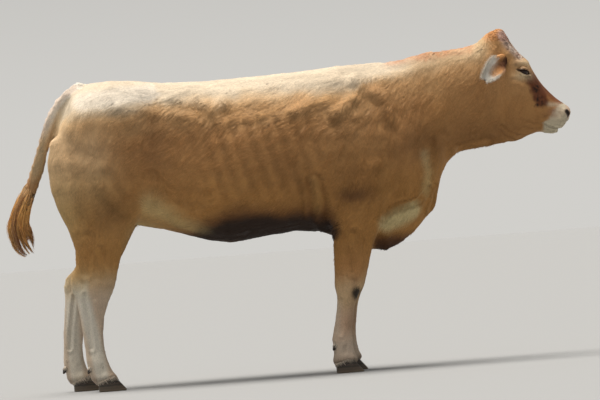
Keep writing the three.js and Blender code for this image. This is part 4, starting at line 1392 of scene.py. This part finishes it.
def grow_coat(points, triangles, share):
    """The whole coat: tufts sown over the hide, each with its region's size and the lay of its place, a
    tone of its own and a relief of locks a finger wide. Returns a mesh for each region."""
    middle = points[triangles].mean(axis=1)
    density = coat_measures(mirrored(middle))[3]
    place = sown(points, triangles, density * share, 31)
    roots = between_corners(points, *place)
    normals = unit(between_corners(normals_of(points, triangles), *place))
    keep = ~bare(roots)
    roots = roots[keep]
    normals = normals[keep]
    q = mirrored(roots)
    rng = np.random.default_rng(32)
    way = unit(lay_of_hair(roots) + 0.22 * rng.normal(size=roots.shape))
    length, breadth, lift, _ = coat_measures(q)
    fluff = woolly(q)
    length = length * rng.uniform(0.75, 1.2, len(roots))
    breadth = breadth * rng.uniform(0.75, 1.25, len(roots))
    flat = laid(way, normals)
    side = np.cross(flat, normals)

    def relief(places):
        """The height of the coat's locks: streaks 9 mm across on streaks 24 mm across."""
        return streaks(places, flat, 9.0, 41) + 1.8 * streaks(places, flat, 24.0, 42)

    here = relief(roots)
    strength = (1.0 + 2.2 * fluff) * (1 - 0.65 * step(normals[:, 2], 0.35, 0.85))
    across = (relief(roots + side * 2.5) - here) / 2.5 * strength
    along = (relief(roots + flat * 6) - here) / 6 * strength
    lift = np.maximum(lift * (1 + 0.45 * here), 0.5)
    points, shade = tufts(roots, normals, way, length, breadth, lift, (along, across))
    tone = 1 + (0.04 + 0.06 * fluff) * here + 0.05 * rng.normal(size=len(roots))
    own = coat_colour(roots) * np.clip(tone, 0.6, 1.4)[:, None]
    right = roots[:, 1] < 0
    left_over = np.ones(len(roots), bool)
    meshes = {}
    for name, test in REGIONS.items():
        mine = left_over & test(q, right)
        left_over &= ~mine
        corners = np.repeat(mine, 4)
        places = unrolled(name, roots[mine])
        meshes[name] = tuft_mesh(name, points[corners], shade[corners], own[mine], places)
    return meshes


def switch_locks():
    """The switch: strands that leave the tail's last third, fan out inside the switch's oval, wave on
    their way down and end at uneven lengths. Each strand has its own place in the oval, wave and colour,
    and its locks keep close to it."""
    rng = np.random.default_rng(51)
    count = SWITCH_LOCKS
    strands = SWITCH_STRANDS
    places = 12
    t = np.linspace(0, 1, places)
    strand = rng.integers(0, strands, count)

    def own(values):
        """Each lock's value from its strand's."""
        return values[strand][:, None]

    start = rng.uniform(0, 3.0, count)
    last = own(rng.uniform(6.6, 8.9, strands))[:, 0] + 0.3 * rng.normal(size=count)
    last = np.clip(last, start + 2.4, len(SWITCH) - 1)
    at = start[:, None] + (last - start)[:, None] * t
    rows = through(SWITCH, at)
    slope = unit(through(SWITCH, at + 0.05)[..., :2] - through(SWITCH, at - 0.05)[..., :2])
    angle = own(np.arange(strands) * 2.4) + 0.22 * rng.normal(size=(count, 1)) * (1 - 0.6 * t)
    share = own(np.sqrt(rng.uniform(0.12, 0.95, strands)))
    share = share + 0.09 * rng.normal(size=(count, 1)) * (1 - 0.5 * t)
    height = own(rng.uniform(3, 8, strands))
    waves = own(rng.uniform(1.0, 1.8, strands)) * t
    wave = height * np.sin(2 * math.pi * (waves + own(rng.random(strands))))
    fine = 1.6 * np.sin(2 * math.pi * (rng.uniform(2, 4, (count, 1)) * t + rng.random((count, 1))))
    opening = step(at, start[:, None] - 0.01, start[:, None] + 1.1)
    radius = np.maximum(rows[..., 2], 22) * (0.30 + 0.66 * opening)
    out = radius * share * np.cos(angle) + (wave + fine) * t
    across = radius * share * np.sin(angle) * SWITCH_FLATNESS
    across = across + (0.6 * np.roll(wave, 5, axis=0) + fine) * t
    x = rows[..., 0] + slope[..., 1] * out
    paths = np.stack([x, across, rows[..., 1] - slope[..., 0] * out], axis=2)
    stray = strand == 3
    paths[stray] += (np.array([62.0, 0, -4.0]) * t[:, None] ** 2)[None] * (1 - 0.35 * t[:, None] ** 3)
    thick = rng.uniform(1.9, 3.4, (count, 1)) * (1 - 0.86 * t**1.6)
    points, faces = locks(paths, thick)
    kind = 0.6 * rng.random(strands)[strand] + 0.4 * rng.random(count)
    colour = blended(all_over(linear("#F2B868"), count), linear("#8A5220"), step(kind, 0.35, 0.85))
    colour = np.repeat(colour * rng.uniform(0.8, 1.2, (count, 1)), places, axis=0)
    down = np.tile(t, count)
    from_tail = step(np.repeat(start, places), 1.8, 0.4) * step(down, 0.6, 0.1)
    layers = [
        (linear("#D9A45C"), 0.6 * step(out.ravel(), 24, 44)),
        (linear("#C4A277"), 0.75 * from_tail),
        (linear("#8A4E22"), 0.25 * step(down, 0.75, 1.0)),
    ]
    return new_mesh("tail_switch", points, faces, np.repeat(layered(colour, layers), 3, axis=0))


def curls(name, hide, grows, density, seed, fall, length, radius, rise, bend):
    """Wavy locks over part of the hide: strewn where they grow, laid along the fall, each rising in an
    arch, bent round the bend's radius, and waving from side to side in step with its neighbours."""
    points, triangles = hide
    place = sown(points, triangles, density * grows, seed)
    roots = between_corners(points, *place)
    normals = unit(between_corners(normals_of(points, triangles), *place))
    rng = np.random.default_rng(seed + 1)
    count = len(roots)
    t = np.linspace(0, 1, 10)[None, :, None]
    spread = 0.14 * rng.normal(size=roots.shape) + 0.45 * normals * np.array([0, 1, 0])
    way = laid(unit(np.array(fall) + spread), normals, 0.85)
    side = np.cross(way, normals)
    long = (rng.uniform(*length, count))[:, None, None]
    phase = (3.0 * noise(roots, 24, seed) + 0.5 * rng.normal(size=count))[:, None, None]
    up = normals[:, None]
    paths = roots[:, None] + way[:, None] * long * t
    paths = paths + up * (-2 + rise * np.sin(math.pi * np.minimum(t * 1.05, 1)) ** 0.8)
    paths = paths - up * (long * t) ** 2 / (2 * bend)
    paths = paths + side[:, None] * (0.07 * long * np.sin(phase + 7.5 * t) * np.sqrt(t))
    paths = paths + up * (0.04 * long * np.cos(phase + 7.5 * t) * t)
    made, faces = locks(paths, rng.uniform(*radius, (count, 1)) * (1 - 0.85 * t[:, :, 0] ** 1.8))
    own = coat_colour(roots) * rng.uniform(0.8, 1.35, (count, 1))
    return new_mesh(name, made, faces, np.repeat(own, 10 * 3, axis=0))


def ear_locks(side):
    """The long hairs of an ear: white ones that stand over its rear rim and tip, a fringe that hangs from
    its lower rim, amber near the root and white further out, and short amber ones inside."""
    rng = np.random.default_rng(71)
    count = EAR_HAIRS
    kind = rng.random(count)
    rear = kind < 0.5
    low = (kind >= 0.5) & (kind < 0.84)

    def pick(on_rear, on_low, inside):
        """Each hair's value by where it grows."""
        return np.where(rear, on_rear, np.where(low, on_low, inside))

    along = rng.uniform(pick(42, 64, 30), pick(202, 204, 150))
    rings = through(EAR_RINGS, np.interp(along, [row[0] for row in EAR_RINGS], range(len(EAR_RINGS))))
    share = rng.uniform(pick(0.25, -1.0, -0.7), pick(1.0, -0.74, 0.4))
    roots = ear_place(along, rings[:, 1] * share, rings[:, 2] * 0.8 * np.sqrt(1 - share**2), RIGHT)
    axis = unit(EAR_TIP - EAR_ROOT)
    facing = unit(EAR_CUP_FACES - axis * (axis @ EAR_CUP_FACES))
    outward = pick(0.62, -0.34, 0.0)[:, None] * np.cross(axis, facing)
    way = unit(0.8 * axis + outward + 0.30 * facing + 0.15 * rng.normal(size=(count, 3)))
    t = np.linspace(0, 1, 5)[None, :, None]
    length = rng.uniform(pick(24, 9, 8), pick(46, 22, 16))[:, None, None]
    phase = rng.uniform(0, 2 * math.pi, count)[:, None, None]
    paths = roots[:, None] + way[:, None] * length * t
    paths = paths + np.array([0, 0, -1.0]) * length * 0.25 * t**2
    paths = (paths + facing * 1.8 * t * np.sin(phase + 4 * t)) * np.array([1, -side, 1])
    points, faces = locks(paths, rng.uniform(0.5, 1.0, (count, 1)) * (1 - 0.85 * t[:, :, 0] ** 1.6))
    layers = [
        (HONEY, pick(0.05, 0.9, 0.6) * step(along, 150, 110)),
        (AMBER, pick(0.0, 0.5, 0.9) * step(along, 130, 90)),
    ]
    colour = layered(all_over(SNOW, count), layers) * rng.uniform(0.85, 1.12, (count, 1))
    return new_mesh("ear_fringe", points, faces[:, ::-side], np.repeat(colour, 5 * 3, axis=0))


def lashes(side, closed_hide):
    """The upper lid's lashes: fine brown hairs up to 14 mm long that leave its rim, go out and curl up, and
    a shorter row on the lower lid that curls down."""
    rng = np.random.default_rng(81)
    parts = []
    _, axes = eye_axes(side)
    for upper, number, length, lift in ((True, 46, 15, 5), (False, 26, 9, -3)):
        grid, _, _ = lid_grid(side, upper, closed_hide)
        rim = grid.reshape(len(LID_ROWS), LID_COLUMNS, 3)[3]
        roots = through(rim, np.sort(rng.uniform(3, LID_COLUMNS - 6, number)))
        t = np.linspace(0, 1, 6)[None, :, None]
        way = axes[:, 2] + 0.35 * rng.normal(size=(number, 1)) * axes[:, 0]
        own = length * rng.uniform(0.7, 1.15, (number, 1, 1))
        paths = roots[:, None] + unit(way)[:, None] * own * t * 0.8
        paths = paths + axes[:, 1] * lift * (1.5 * t**2 - 0.6 * t)
        parts.append(locks(paths, 0.55 * (1 - 0.8 * t[:, :, 0]) * np.ones((number, 1)), 1.0))
    points, faces = joined(parts)
    return new_mesh("lashes", points, faces, all_over(linear("#6B4A2C"), len(points)))


def short_coat(name, points, triangles, colours, flow, places, density, length, breadth, seed):
    """Short tufts over a small surface: strewn evenly and laid along the flow, each with its own tone. The
    places are the points' own on the bake's map."""
    place = sown(points, triangles, density, seed)
    rng = np.random.default_rng(seed + 1)
    roots = between_corners(points, *place)
    normals = unit(between_corners(normals_of(points, triangles), *place))
    way = unit(between_corners(flow, *place) + 0.3 * rng.normal(size=roots.shape))
    size = rng.uniform(0.8, 1.25, len(roots))
    long = length * size
    still = np.zeros(len(roots))
    made, shade = tufts(roots, normals, way, long, breadth * size, 0.09 * long, (still, still))
    own = between_corners(colours, *place) * rng.uniform(0.85, 1.15, (len(roots), 1))
    return tuft_mesh(name, made, shade, own, between_corners(places, *place))


# ---- Horn ----


def hoof_horn():
    """Hoof horn: keratin grown downwards in layers, so a dull shine, level bands of tone about 14 mm apart,
    every second growth ring, fine upright tubes, and dust and bleaching towards the ground."""
    material, shader = new_material("hoof_horn", Roughness=0.5, IOR=1.55)
    place = add_node(material, "TexCoord")["Object"]
    height = add_node(material, "SeparateXYZ", Vector=place)["Z"]
    rings = {"Scale": 1 / (2 * 7 * MM) / 3.14, "Distortion": 2.5, "Detail": 2.0, "Detail_Scale": 3.0}
    upright = {"wave_type": "BANDS", "bands_direction": "Z"}
    bands = add_node(material, "TexWave", upright, Vector=place, **rings)["Fac"]
    stretched = add_node(material, "Mapping", Vector=place, Scale=(900, 900, 90))["Vector"]
    tubes = add_node(material, "TexNoise", Vector=stretched, Scale=1.0, Detail=3.0)
    dark = (*linear("#2B241E"), 1)
    pale = (*linear("#54463A"), 1)
    dust = (*linear("#7D6D58"), 1)
    banding = add_node(material, "Mix", BLEND, i0=bands, i6=dark, i7=pale)[2]
    fleck = add_node(material, "Mix", PRODUCT, i0=0.6, i6=banding, i7=tubes["Color"])[2]
    near_ground = {"From_Min": 0.0, "From_Max": 0.03, "To_Min": 0.55, "To_Max": 0.0}
    low = add_node(material, "MapRange", Value=height, **near_ground)["Result"]
    dusty = add_node(material, "Mix", BLEND, i0=low, i6=fleck, i7=dust)[2]
    relief = add_node(material, "Bump", Height=tubes["Fac"], Strength=0.35, Distance=0.4 * MM)
    link(material, dusty, shader, "Base Color")
    link(material, relief["Normal"], shader, "Normal")
    return material


# ---- Floor, light and camera ----


def pale_floor():
    """A level floor in matt paint: a square grid 120 m wide, drawn in metres."""
    line = np.array([-60.0, -20.0, -6.0, 0.0, 6.0, 20.0, 60.0])
    x, y = np.meshgrid(line, line)
    points = np.stack([x, y, 0 * x], axis=2).reshape(-1, 3) / MM
    mesh = new_mesh("floor", points, grid_faces(len(line), len(line), closed=False))
    values = {"Base_Color": (*linear("#A7AAAD"), 1), "Roughness": 0.9}
    mesh.materials.append(new_material("pale_floor_paint", **values)[0])
    stage = bpy.data.objects.new("floor", mesh)
    bpy.context.scene.collection.objects.link(stage)


def stand(name, data, axes, place):
    """An object at a place in metres, turned so that its own axes are the columns."""
    made = bpy.data.objects.new(name, data)
    bpy.context.scene.collection.objects.link(made)
    turned = np.eye(4)
    turned[:3, :3] = axes
    turned[:3, 3] = place
    made.matrix_world = Matrix(turned.tolist())
    return made


def high_light():
    """A light far off and as broad as a studio's ceiling panel: it comes from one direction, the same over
    the whole floor, and its shadows have edges as soft as its breadth in degrees says."""
    data = bpy.data.lights.new("high_light", "SUN")
    data.angle = math.radians(LIGHT_BREADTH)
    data.energy = LIGHT_STRENGTH
    data.color = linear(LIGHT_COLOUR)
    back = unit(np.array(LIGHT_COMES_FROM, float))
    right = unit(np.cross(np.array([0, 0, 1.0]), back))
    stand("high_light", data, np.stack([right, np.cross(back, right), back], axis=1), (0, 0, 5))


def room():
    """A room that is as pale as the floor where they meet and dimmer above."""
    world = bpy.data.worlds.new("room")
    world.use_nodes = True
    background = world.node_tree.nodes["Background"]
    place = add_node(world, "TexCoord")["Generated"]
    height = add_node(world, "SeparateXYZ", Vector=place)["Z"]
    fade = {"From_Min": 0.0, "From_Max": ROOM_RISE, "To_Min": ROOM_AT_FLOOR, "To_Max": ROOM_ABOVE}
    glow = add_node(world, "MapRange", {"interpolation_type": "SMOOTHSTEP"}, Value=height, **fade)
    background.inputs["Color"].default_value = (*linear(ROOM_COLOUR), 1)
    link(world, glow["Result"], background, "Strength")
    bpy.context.scene.world = world
    bpy.context.scene.view_settings.view_transform = "Standard"


def camera():
    """A long lens, level with the belly, that looks straight at the cow's right side and is rolled a
    little, so that the floor runs down towards her head."""
    data = bpy.data.cameras.new("camera")
    data.sensor_width = 36.0
    data.lens = CAMERA_LENS
    data.clip_end = 200.0
    c = math.cos(CAMERA_ROLL)
    s = math.sin(CAMERA_ROLL)
    bpy.context.scene.camera = stand("camera", data, ((c, s, 0), (0, 0, -1), (-s, c, 0)), CAMERA_PLACE)


# ---- The cow ----

# Short cow hair: fine dry keratin, so a soft broad shine and a pale bloom where light grazes it. Its tone
# changes over 9 mm, which is coarser than the hair itself and as fine as shows.
hair = painted(
    "short_cow_hair", 9.0, (0.90, 1.10), detail=2.0, Roughness=0.62, IOR=1.55, Specular_IOR_Level=0.35,
    Sheen_Weight=0.08, Sheen_Roughness=0.45
)
# The hide under the coat, with its own nap: a little deeper in tone, and matt hairs that lie flat, drawn
# 6 mm across, as fine as shows.
flat_hair = painted(
    "hide_with_flat_hair", 6.0, (0.78, 1.06), (0.5, 1.5), 4.0, 0.6, Roughness=0.7, IOR=1.5,
    Specular_IOR_Level=0.3, Sheen_Weight=0.06
)
# Bare eyelid skin: pored every 2 mm, and a little moist.
rim = painted("eyelid_skin", 2.0, bump=(0.4, 0.5), Roughness=0.5, IOR=1.45, Coat_Weight=0.15)
# The eye: a wet clear cornea, so one sharp glint over the dark iris.
wet_eye = painted("wet_cornea_over_brown_iris", 0.6, bump=(0.02, 0.02), Roughness=0.06, IOR=1.376)
# The ear's skin: matt, with down that catches the light.
ear_skin = painted("ear_skin_with_down", 2.5, bump=(0.6, 0.8), Roughness=0.65, IOR=1.45, Sheen_Weight=0.15)
# The udder's bare skin: finely wrinkled every 3 mm, with a faint shine.
udder_skin = painted("bare_udder_skin", 3.0, bump=(0.5, 0.8), Roughness=0.5, IOR=1.42)
# Long hair: thicker and smoother than the coat, so it gleams along its locks.
long_hair = painted("long_tail_hair", 3.0, bump=(0.3, 0.4), Roughness=0.45, IOR=1.55, Sheen_Weight=0.1)
horn = hoof_horn()

camera()
high_light()
room()
pale_floor()

hide_points, hide_triangles, closed_hide = hide_surface()
hide_mesh = new_mesh("hide", hide_points, hide_triangles, coat_colour(hide_points) * 0.92)
bring("hide", hide_mesh, flat_hair, FLESH)
share = 1.0
for name, mesh in grow_coat(hide_points, hide_triangles, share).items():
    bring(name, mesh, hair)

points, faces, colours, shares = eyelids(closed_hide)
bring("eyelids", new_mesh("eyelids", points, faces, colours), rim)
haired = split_faces(faces)
haired = haired[shares[haired].min(axis=1) > 0.24]
ahead = (points[:, 0] - 1000) / 150
places = np.stack([ahead, (points[:, 2] - 1200) / 300 + 0.5 * (points[:, 1] > 0)], axis=1)
flow = lay_of_hair(points)
lid_coat = short_coat("coat_lids", points, haired, colours, flow, places, **LID_COAT)
bring("coat_lids", lid_coat, hair)

bring("tail_switch_locks", switch_locks(), long_hair, ["tail_switch"])
hide = (hide_points, hide_triangles)
middle = mirrored(hide_points[hide_triangles].mean(axis=1))
on_poll = hill(middle, (985, 20, 1466), (48, 66, 42)) > 0.32
bring("poll_curls", curls("poll_curls", hide, on_poll, **POLL_CURLS), long_hair)
on_forehead = side_line(middle, [(1014, 1420), (1042, 1388), (1066, 1358)], 17) > 0.35
bring("forehead_curls", curls("forehead_curls", hide, on_forehead, **FOREHEAD_CURLS), long_hair)

for side_name, side in SIDES.items():
    bring(f"eyeball_{side_name}", eyeball(side), wet_eye, [f"eye_{side_name}"])
    bring(f"lashes_{side_name}", lashes(side, closed_hide), long_hair)
    points, faces, along, turns = ear_grid(side)
    colours = ear_colour(points, along, turns)
    ear = new_mesh("ear", points, faces, colours)
    bring(f"ear_leaf_{side_name}", ear, ear_skin, [f"ear_{side_name}"])
    flow = all_over(unit(EAR_TIP - EAR_ROOT) * np.array([1, -side, 1]), len(points))
    places = np.stack([turns / (2 * math.pi) * 0.98 + 0.01, along / 210], axis=1)
    ear_coat = short_coat("coat_ear", points, split_faces(faces), colours, flow, places, **EAR_COAT)
    bring(f"coat_ear_{side_name}", ear_coat, hair)
    bring(f"ear_fringe_{side_name}", ear_locks(side), long_hair)

for foot_name, (toe, y, heel, fetlock) in FEET.items():
    outward = RIGHT if "right" in foot_name else LEFT
    claws = []
    spurs = []
    for which, off in (("inner", -outward), ("outer", outward)):
        claws.append((toe, y + off * (CLAW["width"] + CLAW["gap"]) / 2))
        spurs.append((heel, y + off * DEWCLAW["spread"], fetlock))
        claw = new_mesh("claw", *claw_surface(*claws[-1]))
        bring(f"horn_{foot_name}_{which}", claw, horn, [f"claw_{foot_name}_{which}"])
        dewclaw = new_mesh("dewclaw", *dewclaw_surface(*spurs[-1]))
        bring(f"spur_{foot_name}_{which}", dewclaw, horn, [f"dewclaw_{foot_name}_{which}"])
    bring(f"foot_hair_{foot_name}", foot_hair(claws, spurs), long_hair)

points, faces = udder_surface()
colours = all_over(linear("#CFA58C"), len(points)) * (1 + 0.08 * noise(points, 25, 5))[:, None]
bring("udder_bag", new_mesh("udder", points, faces, colours), udder_skin, ["udder"])
